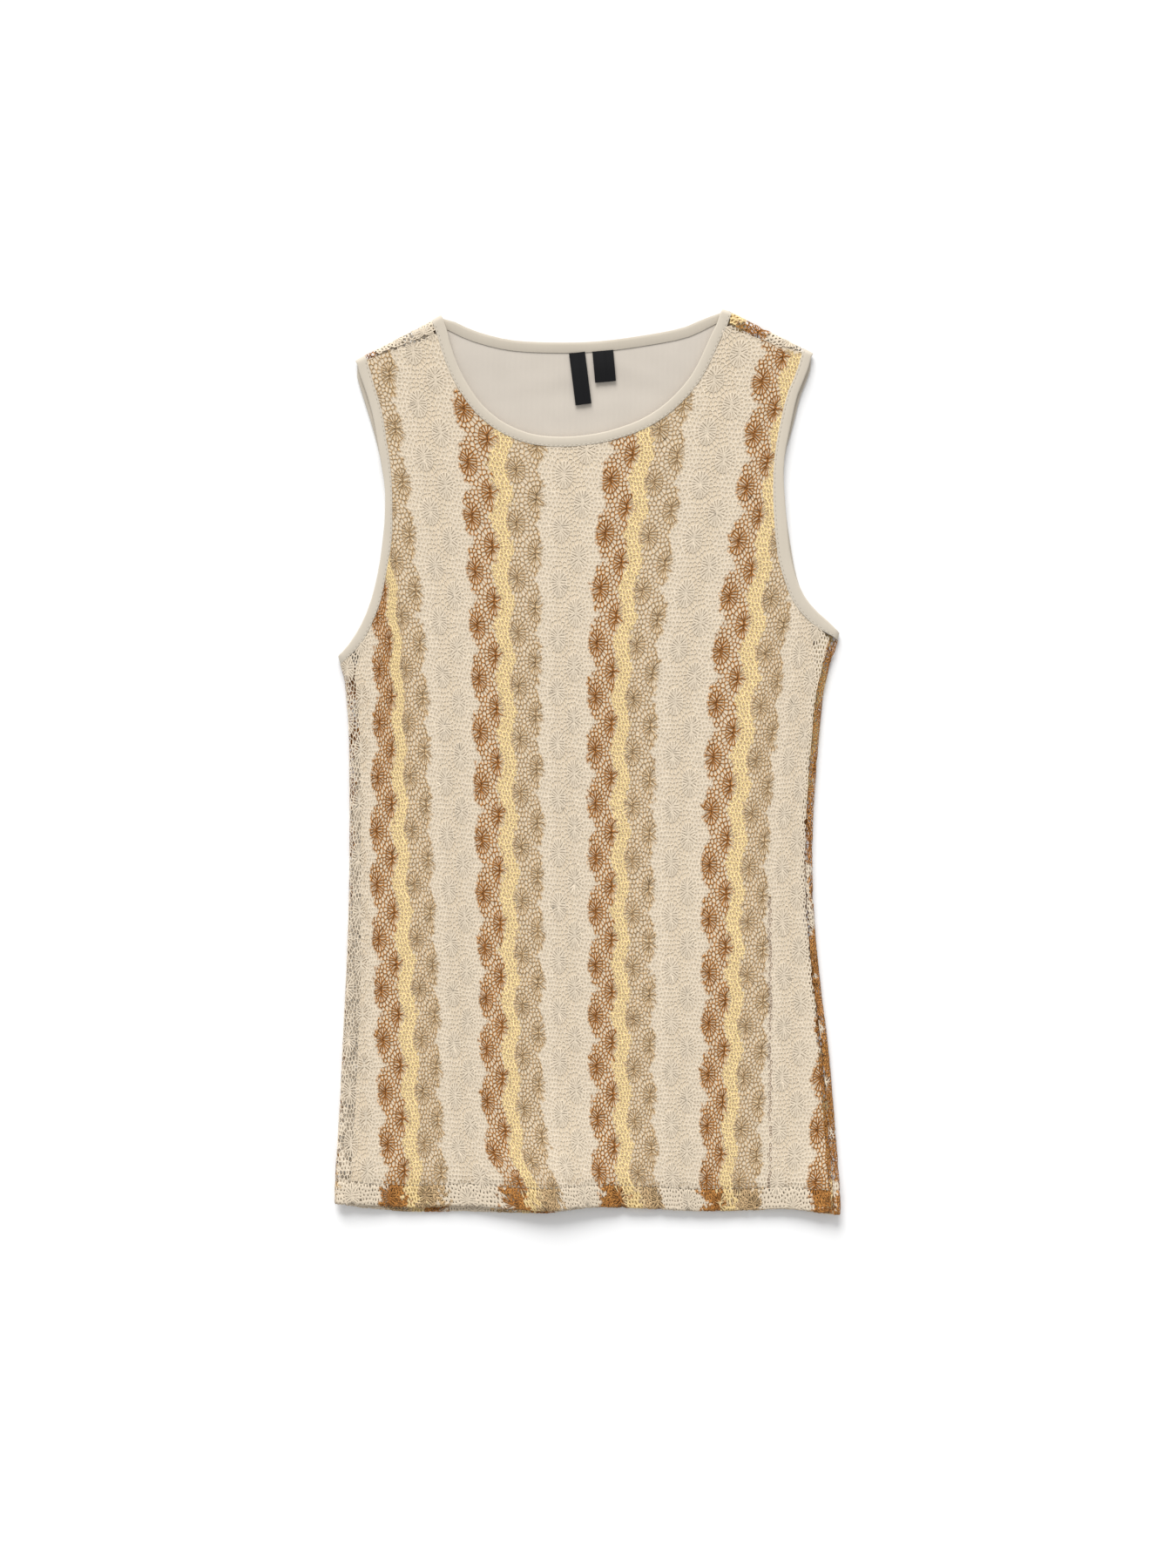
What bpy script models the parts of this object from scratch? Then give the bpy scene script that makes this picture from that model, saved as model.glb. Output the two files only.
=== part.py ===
"""Sleeveless knit top laid flat with its front up. Sizes are in millimetres and the
meshes in metres. +Z is up, +Y runs towards the neck, and the origin lies on the
floor under the middle of the outline.

Each cut piece is a wall: an outline filled with triangles, bent over the folds at
the sides and shoulders, and thickened. Each binding is a closed ribbon."""

import math

import bmesh
import bpy
import numpy as np
from mathutils.geometry import delaunay_2d_cdt

MM = 0.001

# Layers, from the floor up
LACE = 1.0  # thickness of the openwork cloth
LINING = 1.0  # thickness of the plain cloth
HEM_LACE = 2.0  # two layers of lace where the hem is turned up
HALF = 2.8  # half of the whole stack
BACK_LINING_Z, FRONT_LINING_Z, FRONT_LACE_Z = 1.3, 4.3, 5.6  # outer faces
SEAM_GAP = 0.3

# Folds
SIDE_ROUND, SHOULDER_ROUND = 5.0, 3.2  # how far in from a fold the cloth bends
SIDE_TOP = {-1: 80.0, 1: 95.0}  # the side folds end below these heights
HEM_DEPTH = 16.0
LINING_INSET, LINING_UP = 8.0, 19.5  # in from the side folds, and up from the hem
SPACING = 24.0  # of the points inside a panel
EDGE = 14.0  # of the points along an edge

# Bindings
BAND_THICK, BAND_FRONT_Z, BAND_BACK_Z = 2.6, 4.45, 1.3
NECK_BAND = 7.3

# y, left fold x, right fold x
SIDES = [
    (95.0, -172.4, 173.6),
    (84.0, -172.4, 172.6),
    (76.0, -172.4, 170.4),
    (68.7, -171.2, 167.6),
    (56.7, -167.9, 164.6),
    (44.7, -166.7, 162.2),
    (20.7, -164.9, 159.8),
    (-27.3, -164.3, 156.2),
    (-63.3, -164.3, 155.0),
    (-99.3, -164.9, 155.8),
    (-147.3, -166.7, 159.8),
    (-195.3, -169.1, 165.8),
    (-243.3, -171.5, 170.0),
    (-291.3, -174.3, 173.6),
    (-313.0, -173.9, 174.2),
]

# x, front hem y, back hem y
HEMS = [
    (-186.0, -304.6, -305.0),
    (-174.4, -304.6, -305.0),
    (-146.8, -306.3, -308.7),
    (-116.8, -307.5, -310.6),
    (-86.8, -306.3, -310.2),
    (-56.9, -308.1, -310.9),
    (-26.8, -309.3, -310.9),
    (3.1, -306.9, -307.6),
    (39.1, -308.1, -308.4),
    (75.1, -309.9, -310.2),
    (111.1, -309.3, -309.6),
    (138.2, -308.3, -308.6),
    (160.0, -310.8, -311.2),
    (174.2, -311.9, -312.1),
    (186.0, -311.9, -312.1),
]

# x, y of the seam between the front panel and its binding, left shoulder to right
NECK_FRONT = [
    (-106.6, 301.1),
    (-104.5, 296.0),
    (-99.0, 277.4),
    (-92.2, 261.9),
    (-84.0, 248.5),
    (-74.7, 237.6),
    (-60.6, 226.9),
    (-41.2, 219.0),
    (-20.8, 216.6),
    (-0.4, 217.8),
    (19.3, 221.8),
    (41.4, 230.1),
    (59.7, 242.5),
    (74.4, 258.1),
    (83.0, 272.2),
    (91.2, 290.3),
    (96.5, 300.7),
    (98.4, 306.7),
]

# x, y of the free edge of the back neck binding, left shoulder to right
NECK_BACK = [
    (-99.7, 305.6),
    (-94.0, 304.6),
    (-86.8, 300.9),
    (-72.5, 295.5),
    (-50.9, 290.7),
    (-20.8, 289.3),
    (6.8, 290.1),
    (35.5, 293.7),
    (64.3, 299.1),
    (78.8, 305.1),
    (91.5, 309.6),
]

# Armhole binding on the front, shoulder to underarm:
# seam x, seam y, free x, free y, and how far the back one sticks out past it
LEFT_ARMHOLE = [
    (-152.1, 277.3, -158.9, 273.7, 0.0),
    (-149.8, 269.7, -157.0, 266.7, 2.4),
    (-145.5, 255.0, -152.4, 253.5, 3.2),
    (-141.2, 239.5, -148.0, 238.2, 2.8),
    (-138.6, 222.3, -144.9, 221.1, 1.0),
    (-136.0, 205.9, -142.3, 204.9, 0.0),
    (-134.7, 188.7, -139.8, 188.7, 0.0),
    (-134.4, 170.7, -139.8, 170.7, 0.0),
    (-135.0, 151.5, -141.0, 152.1, 0.6),
    (-138.0, 133.5, -143.5, 135.6, 0.4),
    (-142.0, 112.2, -148.3, 114.9, 0.0),
    (-147.1, 98.3, -153.6, 99.9, 0.0),
    (-153.8, 84.4, -159.8, 88.2, 0.0),
    (-160.8, 75.8, -165.1, 80.4, 0.0),
    (-167.2, 69.8, -169.3, 75.6, 0.0),
]
RIGHT_ARMHOLE = [
    (147.5, 282.1, 154.0, 278.8, 0.0),
    (145.1, 273.1, 151.7, 270.3, 1.8),
    (141.2, 262.7, 147.6, 260.1, 2.2),
    (137.4, 254.1, 144.0, 251.1, 2.2),
    (134.4, 242.7, 141.4, 239.5, 2.0),
    (131.5, 229.5, 138.6, 226.2, 1.4),
    (129.0, 214.5, 136.0, 213.0, 0.2),
    (127.5, 197.7, 134.9, 197.7, 0.0),
    (127.5, 180.1, 135.9, 180.3, 0.0),
    (128.3, 164.7, 137.2, 164.7, 0.4),
    (130.0, 145.5, 139.0, 146.1, 1.4),
    (133.9, 129.0, 142.4, 129.9, 1.0),
    (140.5, 111.5, 148.4, 115.5, 0.0),
    (150.2, 98.5, 156.4, 105.0, 0.0),
    (160.9, 90.4, 165.8, 96.6, 0.0),
    (168.8, 86.2, 170.4, 92.0, 0.0),
]

# Where each binding turns over a fold: seam x, seam y, free x, free y
NECK_FOLDS = (-107.8, 303.4, -100.9, 307.5), (99.5, 309.0, 92.6, 311.6)
LEFT_FOLDS = (-153.3, 279.7, -160.0, 276.0), (-169.7, 66.9, -171.6, 73.0)
RIGHT_FOLDS = (148.7, 284.4, 155.2, 281.0), (171.7, 83.6, 172.9, 89.0)

# Shoulder fold: neck end, armhole end, and the distance of the seam from the fold
# on the front at the neck, at two thirds and at the armhole
SHOULDERS = {
    -1: ((-108.1, 304.0), (-158.8, 277.5), (9.0, 4.4, 3.5)),
    1: ((99.8, 309.6), (155.5, 281.7), (8.1, 7.3, 3.8)),
}
# the stretch of the shoulder fold that the lace covers, along it from the neck end
SHOULDER_SPAN = {-1: (0.9, 50.9), 1: (1.3, 54.6)}

# Flutes of the hem off the floor: x, height, half width, reach up from the hem
FLUTES = [(-21.0, 5.0, 36.0, 46.0), (176.0, 3.5, 30.0, 32.0), (-172.0, 2.5, 26.0, 30.0)]
# Soft swells of the front: x, y, height, half width across, half width along
SWELLS = [
    (-95.0, -40.0, 1.1, 34.0, 150.0),
    (15.0, 60.0, 1.2, 40.0, 130.0),
    (70.0, -170.0, 1.2, 34.0, 110.0),
    (-50.0, -220.0, 0.9, 38.0, 90.0),
]

# Labels at the back of the neck: centre x, centre y, width, length, turn in degrees
LABELS = {
    "main_label": (-5.2, 264.2, 11.0, 36.0, 7.2),
    "care_label": (11.3, 272.6, 14.4, 21.6, 5.2),
}
LABEL_Z, LABEL_THICK = 2.6, 1.0

# sRGB colour and roughness of each material
COLOURS = {
    "lace": ((0.80, 0.71, 0.58), 0.95),
    "lining": ((0.84, 0.81, 0.76), 0.9),
    "binding": ((0.85, 0.81, 0.74), 0.9),
    "label": ((0.06, 0.06, 0.07), 0.55),
}


def spline(rows, steps=10):
    """Points along a Catmull-Rom curve through rows of any width."""
    rows = np.array(rows, float)
    ends = np.vstack([2 * rows[0] - rows[1], rows, 2 * rows[-1] - rows[-2]])
    found = []
    for i in range(len(rows) - 1):
        a, b, c, d = ends[i : i + 4]
        for k in range(steps):
            t = k / steps
            found.append(
                0.5
                * (
                    2 * b
                    + (c - a) * t
                    + (2 * a - 5 * b + 4 * c - d) * t**2
                    + (3 * b - a - 3 * c + d) * t**3
                )
            )
    return np.array(found + [rows[-1]])


def spaced(points, count):
    """`count` points evenly spaced by length in x and y along a polyline."""
    steps = np.hypot(*np.diff(points[:, :2], axis=0).T)
    along = np.concatenate([[0], np.cumsum(steps)])
    at = np.linspace(0, along[-1], count)
    return np.column_stack([np.interp(at, along, c) for c in points.T])


SIDE_LINE = spline(SIDES)[::-1]
HEM_LINE = spline(HEMS)


def fold_x(side, y):
    return float(np.interp(y, SIDE_LINE[:, 0], SIDE_LINE[:, 1 if side < 0 else 2]))


def hem_y(x, back=False):
    return float(np.interp(x, HEM_LINE[:, 0], HEM_LINE[:, 2 if back else 1]))


def lift(x, y):
    """How far the flutes raise the cloth off the floor."""
    return sum(
        high
        * math.exp(-(((x - at) / wide) ** 2))
        * math.exp(-((max(y - hem_y(x), 0) / reach) ** 2))
        for at, high, wide, reach in FLUTES
    )


def ease(value, low, high):
    t = min(max((value - low) / (high - low), 0), 1)
    return t * t * (3 - 2 * t)


def swell(x, y):
    """How far the front stands up from the back, none at the folds."""
    depth = min(x - fold_x(-1, y), fold_x(1, y) - x)
    high = sum(
        h * math.exp(-(((x - at) / wide) ** 2) - ((y - up) / long) ** 2)
        for at, up, h, wide, long in SWELLS
    )
    return high * ease(depth, 8, 50) * ease(-y, -262, -215)


def quarter(a, b):
    """Length of a quarter of an ellipse."""
    return math.pi * (3 * (a + b) - math.sqrt((3 * a + b) * (a + 3 * b))) / 4


def bend(q, round_):
    """Where cloth q beyond the start of a bend lies: outwards, and up or down."""
    length = quarter(round_, HALF)
    if q > 2 * length:
        return 2 * length - q, HALF
    turn = math.radians(90 * q / length - 90)
    return round_ * math.cos(turn), HALF * math.sin(turn)


def shoulder_frame(side):
    neck, arm, seams = SHOULDERS[side]
    neck, arm = np.array(neck), np.array(arm)
    along = (arm - neck) / np.linalg.norm(arm - neck)
    out = np.array([-along[1], along[0]]) * (1 if side > 0 else -1)
    return neck, along, out, seams


def lay(x, y, front, outer):
    """The place of a panel's point. `outer` is the height of its outer face."""
    for side in (-1, 1):
        if y < SIDE_TOP[side]:
            start = fold_x(side, y) - side * SIDE_ROUND
            q = side * (x - start)
            if q > 0:
                out, up = bend(q, SIDE_ROUND)
                x = start + side * out
                z = HALF + (-up if front else up)
                return x, y, z + lift(x, y)
        neck, along, out_way, _ = shoulder_frame(side)
        if side * x > 50 and y > 240:
            offset = np.array([x, y]) - neck
            q = offset @ out_way + SHOULDER_ROUND
            if q > 0:
                out, up = bend(q, SHOULDER_ROUND)
                x, y = neck + along * (offset @ along) + out_way * (out - SHOULDER_ROUND)
                return x, y, HALF + (-up if front else up)
    return x, y, outer + lift(x, y) + (swell(x, y) if front else 0)


def inside(points, outline):
    x, y = points.T
    found = np.zeros(len(points), bool)
    for (ax, ay), (bx, by) in zip(outline, np.roll(outline, -1, axis=0)):
        if ay != by:
            cross = (ay > y) != (by > y)
            found ^= cross & (x < (bx - ax) * (y - ay) / (by - ay) + ax)
    return found


def clear(points, chain, least, closed=False):
    """Which points lie at least `least` from a chain."""
    chain = np.array(chain, float)
    starts, ends = (chain, np.roll(chain, -1, axis=0)) if closed else (chain[:-1], chain[1:])
    found = np.ones(len(points), bool)
    for a, b in zip(starts, ends):
        d = b - a
        t = np.clip((points - a) @ d / max(d @ d, 1e-9), 0, 1)
        found &= np.linalg.norm(points - a - t[:, None] * d, axis=1) >= least
    return found


def lattice():
    """One triangular lattice for all panels, finer under the middle flute."""
    found = []
    row = 0
    y = -330.0
    while y < 330:
        xs = np.arange(-200, 200, SPACING) + (SPACING / 2 if row % 2 else 0)
        found += [(x, y, SPACING) for x in xs]
        y += SPACING * math.sqrt(3) / 2
        row += 1
    at, _, wide, reach = FLUTES[0]
    step = SPACING / 2
    fine = []
    for row, y in enumerate(np.arange(-330, hem_y(at) + 1.3 * reach, step * 0.866)):
        xs = np.arange(-200, 200, step) + (step / 2 if row % 2 else 0)
        fine += [(x, y, step) for x in xs if abs(x - at) < 1.5 * wide]
    reach_y = hem_y(at) + 1.3 * reach
    coarse = [
        p
        for p in found
        if not (abs(p[0] - at) < 1.5 * wide + step and p[1] < reach_y + step)
    ]
    return np.array(coarse + fine)


LATTICE = lattice()


def filled(outline, chains):
    """Points and triangles of a flat panel. Its chains of points stay edges."""
    outline = np.array(outline, float)
    points, step = LATTICE[:, :2], LATTICE[:, 2]
    keep = inside(points, outline)
    for size in (SPACING, SPACING / 2):
        near = ~clear(points, outline, 0.42 * size, True)
        for chain in chains:
            near |= ~clear(points, chain, 0.42 * size)
        keep &= ~(near & (step == size))
    every = [tuple(p) for p in outline]
    edges = [(i, (i + 1) % len(every)) for i in range(len(every))]
    for chain in chains:
        first = len(every)
        every += [tuple(p) for p in chain]
        edges += [(i, i + 1) for i in range(first, len(every) - 1)]
    every += [tuple(p) for p in points[keep]]
    verts, _, faces, *_ = delaunay_2d_cdt(every, edges, [], 1, 1e-4)
    return [tuple(v) for v in verts], [tuple(f) for f in faces]


def material(name):
    colour, rough = COLOURS[name]
    found = bpy.data.materials.get(name)
    if not found:
        found = bpy.data.materials.new(name)
        found.use_nodes = True
        shader = found.node_tree.nodes["Principled BSDF"]
        linear = [((c + 0.055) / 1.055) ** 2.4 for c in colour]
        shader.inputs["Base Color"].default_value = (*linear, 1)
        shader.inputs["Roughness"].default_value = rough
    return found


def wall(name, verts, faces, thick, thin, thicker, cloth, offset=-1):
    """An object from a surface, thickened: `thick` where `thicker`, else `thin`."""
    mesh = bpy.data.meshes.new(name)
    mesh.from_pydata([[c * MM for c in v] for v in verts], [], faces)
    mesh.shade_smooth()
    mesh.materials.append(material(cloth))
    found = bpy.data.objects.new(name, mesh)
    bpy.context.scene.collection.objects.link(found)
    group = found.vertex_groups.new(name="thick")
    for i, weight in enumerate(thicker):
        group.add([i], float(weight), "REPLACE")
    solid = found.modifiers.new("cloth", "SOLIDIFY")
    solid.thickness = thick * MM
    solid.vertex_group = "thick"
    solid.thickness_vertex_group = thin / thick
    solid.offset = offset
    return found


def panel(name, outline, chains, front, outer, thick, cloth, hem=None):
    flat, faces = filled(outline, chains)
    turned = [(a, b, c) if front else (a, c, b) for a, b, c in faces]
    verts = [lay(x, y, front, outer) for x, y in flat]
    double = [
        hem is not None
        and y < hem(x) + HEM_DEPTH + 0.05
        and fold_x(-1, y) + SIDE_ROUND + 0.1 < x < fold_x(1, y) - SIDE_ROUND - 0.1
        for x, y in flat
    ]
    most = HEM_LACE if hem else thick
    return wall(name, verts, turned, most, thick, double, cloth)


def offset_rows(line, width, first, last, count):
    """Binding stations: the seam line, and its other edge `width` to its left."""
    seam = spaced(spline(line), count)
    way = np.gradient(seam, axis=0)
    way /= np.linalg.norm(way, axis=1)[:, None]
    other = seam + width * np.column_stack([-way[:, 1], way[:, 0]])
    for at, corner in ((0, first), (-1, last)):
        other[at] = corner
    near = 0.5 * (other[1] + other[0] + seam[1] - seam[0])
    other[1] = near
    other[-2] = 0.5 * (other[-2] + other[-1] + seam[-2] - seam[-1])
    return np.column_stack([seam, other])


def neck_stations():
    front = offset_rows(NECK_FRONT, NECK_BAND, (-99.7, 305.2), (91.5, 309.4), 36)
    back = offset_rows(NECK_BACK, -NECK_BAND, (-106.6, 301.1), (98.4, 306.7), 24)
    return front, back[:, [2, 3, 0, 1]]


def armhole_stations(rows, side):
    front = spaced(spline(rows), 24)
    back = front.copy()
    back[:, [0, 2]] += side * front[:, 4:5]
    return front[:, :4], back[::1, :4]


def shrunk(stations):
    """The seam line moved off the binding by the gap between pieces."""
    seam, free = stations[:, :2], stations[:, 2:]
    way = (seam - free) / np.linalg.norm(seam - free, axis=1)[:, None]
    return seam + SEAM_GAP * way


def ribbon(name, front, back, start, end):
    """A binding as one closed ring: along the front, over the fold, along the back."""
    rows = [(*s, "front") for s in front]
    turns = (60, 30, 0, -30, -60)

    def over(fold, near_front, near_back, angles):
        for angle in angles:
            near = near_front if angle > 0 else near_back
            here = near + (np.array(fold) - near) * math.cos(math.radians(angle))
            rows.append((*here, angle))

    over(end, front[-1], back[-1], turns)
    rows.extend((*s, "back") for s in back[::-1])
    over(start, front[0], back[0], turns[::-1])
    across = (0.0, 0.3, 0.7, 1.0)
    middle, half = (BAND_FRONT_Z + BAND_BACK_Z) / 2, (BAND_FRONT_Z - BAND_BACK_Z) / 2
    verts, weights = [], []
    for sx, sy, fx, fy, place in rows:
        for k, share in enumerate(across):
            x, y = sx + (fx - sx) * share, sy + (fy - sy) * share
            if place == "front":
                z = BAND_FRONT_Z + swell(x, y)
            elif place == "back":
                z = BAND_BACK_Z
            else:
                z = middle + half * math.sin(math.radians(place))
            verts.append((x, y, z + lift(x, y)))
            weights.append(k in (1, 2) and isinstance(place, str))
    count, wide = len(rows), len(across)
    for end_row in (0, len(front) - 1):
        for k in (1, 2):
            weights[end_row * wide + k] = 0.4
    for end_row in (len(front) + 5, len(front) + 4 + len(back)):
        for k in (1, 2):
            weights[end_row * wide + k] = 0.4
    faces = []
    for i in range(count):
        j = (i + 1) % count
        for k in range(wide - 1):
            a, b, c, d = i * wide + k, j * wide + k, j * wide + k + 1, i * wide + k + 1
            faces.append((a, b, c, d))
    return wall(name, verts, faces, BAND_THICK, 0.5 * BAND_THICK, weights, "binding", 0)


def side_rows(side, reach, count, low, high, back):
    """Chains along a side fold, at even steps of the bend, and the hem's points."""
    length = quarter(SIDE_ROUND, HALF)
    steps = np.linspace(0, reach * length, count)
    if reach < 1:
        steps[-2] = (reach - 0.09) * length
    heights = np.linspace(low, high, max(int((high - low) / 20) + 1, 2))
    chains, feet = [], []
    for q in steps:
        foot_x = fold_x(side, low) - side * SIDE_ROUND + side * q
        foot = (foot_x, hem_y(foot_x if abs(foot_x) < 174 else side * 174, back))
        ys = [foot[1], *[h for h in heights if h > foot[1] + 6]]
        chain = [(fold_x(side, y) - side * SIDE_ROUND + side * q, y) for y in ys]
        chains.append(chain)
        feet.append(chain[0])
    return chains, feet


def edge_points(first, last, back):
    """Points along the hem strictly between two x positions."""
    count = max(int(round((last - first) / EDGE)), 1)
    xs = np.linspace(first, last, count + 1)[1:-1]
    return [(x, hem_y(x, back)) for x in xs]


def hem_chains(first, last, back):
    count = int(round((last - first) / EDGE))
    xs = np.linspace(first, last, count + 1)
    return [[(x, hem_y(x, back) + HEM_DEPTH + up) for x in xs] for up in (0.0, 0.8)]


def shoulder_point(side, along_by, out_by):
    neck, along, out, _ = shoulder_frame(side)
    return tuple(neck + along * along_by + out * out_by)


def seam_distance(side, share):
    neck, two_thirds, arm = SHOULDERS[side][2]
    return float(np.interp(share, (0, 0.67, 1), (neck, two_thirds, arm)))


def front_seam(side):
    """The front lace's edge at a shoulder, from the armhole to the neck."""
    low, high = SHOULDER_SPAN[side]
    found = []
    for share in np.linspace(1, 0, 7):
        down = seam_distance(side, share) + SEAM_GAP
        found.append(shoulder_point(side, low + (high - low) * share, -down))
    return found


def back_wrap(side):
    """Chains along a shoulder fold on the back lace, and the wrap's outline."""
    low, high = SHOULDER_SPAN[side]
    length = quarter(SHOULDER_ROUND, HALF)
    shares = np.linspace(1, 0, 8)
    levels = np.linspace(0, 2 * length, 7) - SHOULDER_ROUND
    chains = [
        [shoulder_point(side, low + (high - low) * s, level) for s in shares]
        for level in levels
    ]
    tops = [
        shoulder_point(
            side,
            low + (high - low) * s,
            2 * length - SHOULDER_ROUND + seam_distance(side, s) - SHOULDER_ROUND,
        )
        for s in shares
    ]
    outline = [chain[0] for chain in chains] + tops + [c[-1] for c in chains[::-1]]
    return chains, outline


def build():
    for old in list(bpy.data.objects):
        bpy.data.objects.remove(old, do_unlink=True)
    neck_front, neck_back = neck_stations()
    left_front, left_back = armhole_stations(LEFT_ARMHOLE, -1)
    right_front, right_back = armhole_stations(RIGHT_ARMHOLE, 1)
    round_ = SIDE_ROUND

    def trimmed(line, low):
        return [tuple(p) for p in line if p[1] > low]

    # Front lace: to the fold on the left, and to the seam inside the fold on the right
    left_chains, left_feet = side_rows(-1, 0.885, 4, hem_y(-174), 60.0, False)
    right_x = [
        (fold_x(1, y) - round_ - SEAM_GAP, y)
        for y in np.linspace(hem_y(169), 84.0, 21)
    ]
    outline = [*left_feet[::-1]]
    outline += edge_points(left_feet[0][0], right_x[0][0], False)
    outline += right_x
    outline += [p for p in trimmed(shrunk(right_front), 0)[::-1] if p[0] < right_x[-1][0] - 1.5]
    outline[-1] = tuple(shrunk(right_front)[0])
    outline += front_seam(1)
    outline += trimmed(shrunk(neck_front), 0)[::-1][2:-2]
    outline += front_seam(-1)[::-1]
    outline += trimmed(shrunk(left_front), 0)[1:]
    outline += [(chain[-1][0], 66.4) for chain in left_chains[2:]]
    outline += [p for p in left_chains[-1][::-1][:-1]]
    chains = left_chains[:-1] + hem_chains(left_feet[0][0] + 3, right_x[0][0] - 3, False)
    panel("front_lace", outline, chains, True, FRONT_LACE_Z, LACE, "lace", hem_y)

    # Back lace: to the fold on the left, round the fold and onto the front elsewhere
    left_chains, left_feet = side_rows(-1, 0.885, 4, hem_y(-174, True), 60.0, True)
    right_chains, right_feet = side_rows(1, 2.0, 7, hem_y(174, True), 78.0, True)
    wrap_chains_l, wrap_l = back_wrap(-1)
    wrap_chains_r, wrap_r = back_wrap(1)
    outline = [*left_feet[::-1]]
    outline += edge_points(left_feet[0][0], right_feet[0][0], True)
    outline += right_feet
    outline += right_chains[-1][1:]
    outline += [(chain[-1][0] + 0.6, 83.0) for chain in right_chains[:0:-1]]
    outline += [p for p in trimmed(shrunk(right_back), 0)[::-1]][:-1]
    outline += wrap_r
    outline += trimmed(shrunk(neck_back), 0)[::-1][1:-1]
    outline += wrap_l[::-1]
    outline += trimmed(shrunk(left_back), 0)[1:]
    outline += [(chain[-1][0], 66.4) for chain in left_chains[2:]]
    outline += [p for p in left_chains[-1][::-1][:-1]]
    chains = left_chains[:-1] + right_chains[:-1] + wrap_chains_l + wrap_chains_r
    chains += hem_chains(left_feet[0][0] + 3, right_feet[0][0] - 3, True)
    panel("back_lace", outline, chains, False, 0.0, LACE, "lace", lambda x: hem_y(x, True))

    # Linings, narrower than the lace and ending above the hem
    for name, neck, left, right, front, outer in (
        ("front_lining", neck_front, left_front, right_front, True, FRONT_LINING_Z),
        ("back_lining", neck_back, left_back, right_back, False, BACK_LINING_Z),
    ):
        low = [hem_y(side * 166, not front) + LINING_UP for side in (-1, 1)]
        left_edge, right_edge = (
            [
                (fold_x(side, y) - side * LINING_INSET, y)
                for y in np.linspace(start, 60.0, 20)
            ]
            for side, start in zip((-1, 1), low)
        )
        count = int((right_edge[0][0] - left_edge[0][0]) / EDGE)
        xs = np.linspace(left_edge[0][0], right_edge[0][0], count)[1:-1]
        outline = [left_edge[0]] + [(x, hem_y(x, not front) + LINING_UP) for x in xs]
        outline += right_edge
        arm = trimmed(shrunk(right), 0)[::-1]
        outline += [p for p in arm if p[0] < right_edge[-1][0] - 3]
        outline += trimmed(shrunk(neck), 0)[::-1][1:-1]
        arm = trimmed(shrunk(left), 0)
        outline += [p for p in arm if p[0] > left_edge[-1][0] + 3]
        outline += left_edge[:0:-1]
        panel(name, outline, [], front, outer, LINING, "lining")

    ribbon("neck_binding", neck_front, neck_back, *NECK_FOLDS)
    ribbon("left_armhole_binding", left_front, left_back, *LEFT_FOLDS)
    ribbon("right_armhole_binding", right_front, right_back, *RIGHT_FOLDS)

    for name, (cx, cy, wide, long, turn) in LABELS.items():
        c, s = math.cos(math.radians(turn)), math.sin(math.radians(turn))
        verts, faces, nx, ny = [], [], 3, 5
        for j in range(ny):
            for i in range(nx):
                u, v = wide * (i / (nx - 1) - 0.5), long * (j / (ny - 1) - 0.5)
                rise = 0.5 * math.sin(math.pi * j / (ny - 1))
                verts.append((cx + u * c - v * s, cy + u * s + v * c, LABEL_Z + rise))
        for j in range(ny - 1):
            for i in range(nx - 1):
                a = j * nx + i
                faces.append((a, a + 1, a + nx + 1, a + nx))
        weights = [True] * len(verts)
        wall(name, verts, faces, LABEL_THICK, LABEL_THICK, weights, "label", 1)


build()
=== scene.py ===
# %% [markdown]
# # A sleeveless openwork knit top, laid flat
# The real top is cut from a stretchy lace knitted on a warp machine, with a plain
# jersey lining behind it and a folded jersey band round the neck and each armhole.
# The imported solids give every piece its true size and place. This script dresses
# them: the lace becomes a net of real holes, the linings and bands become thin cloth,
# and sewing is added on top. All sizes below are in millimetres.

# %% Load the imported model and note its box
import math

import bmesh
import bpy
import numpy as np
from mathutils import Matrix, Vector
from mathutils.geometry import delaunay_2d_cdt


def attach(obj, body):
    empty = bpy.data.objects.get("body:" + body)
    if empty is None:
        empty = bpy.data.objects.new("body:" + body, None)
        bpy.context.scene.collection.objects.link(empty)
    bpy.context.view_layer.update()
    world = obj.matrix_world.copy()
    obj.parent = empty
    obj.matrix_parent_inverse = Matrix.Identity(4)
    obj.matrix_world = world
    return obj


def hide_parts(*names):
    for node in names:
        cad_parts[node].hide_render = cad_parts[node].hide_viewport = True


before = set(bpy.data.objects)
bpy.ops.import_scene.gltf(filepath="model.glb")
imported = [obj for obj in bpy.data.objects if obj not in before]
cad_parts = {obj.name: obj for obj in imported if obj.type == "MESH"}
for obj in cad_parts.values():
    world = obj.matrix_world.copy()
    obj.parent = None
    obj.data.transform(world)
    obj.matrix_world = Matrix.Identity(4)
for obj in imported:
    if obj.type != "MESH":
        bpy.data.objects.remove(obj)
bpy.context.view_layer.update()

MM = 0.001
print("solids:", ", ".join(sorted(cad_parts)))

# %% [markdown]
# ## The shape of the cut pieces
# The solids were made from a flat pattern bent over the folds at the sides and the
# shoulders. The net has to follow the same bends, so the few sizes that drive them are
# repeated here: the lines of the folds and the hem, the seams of the bands, and how
# round each fold is.

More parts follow.
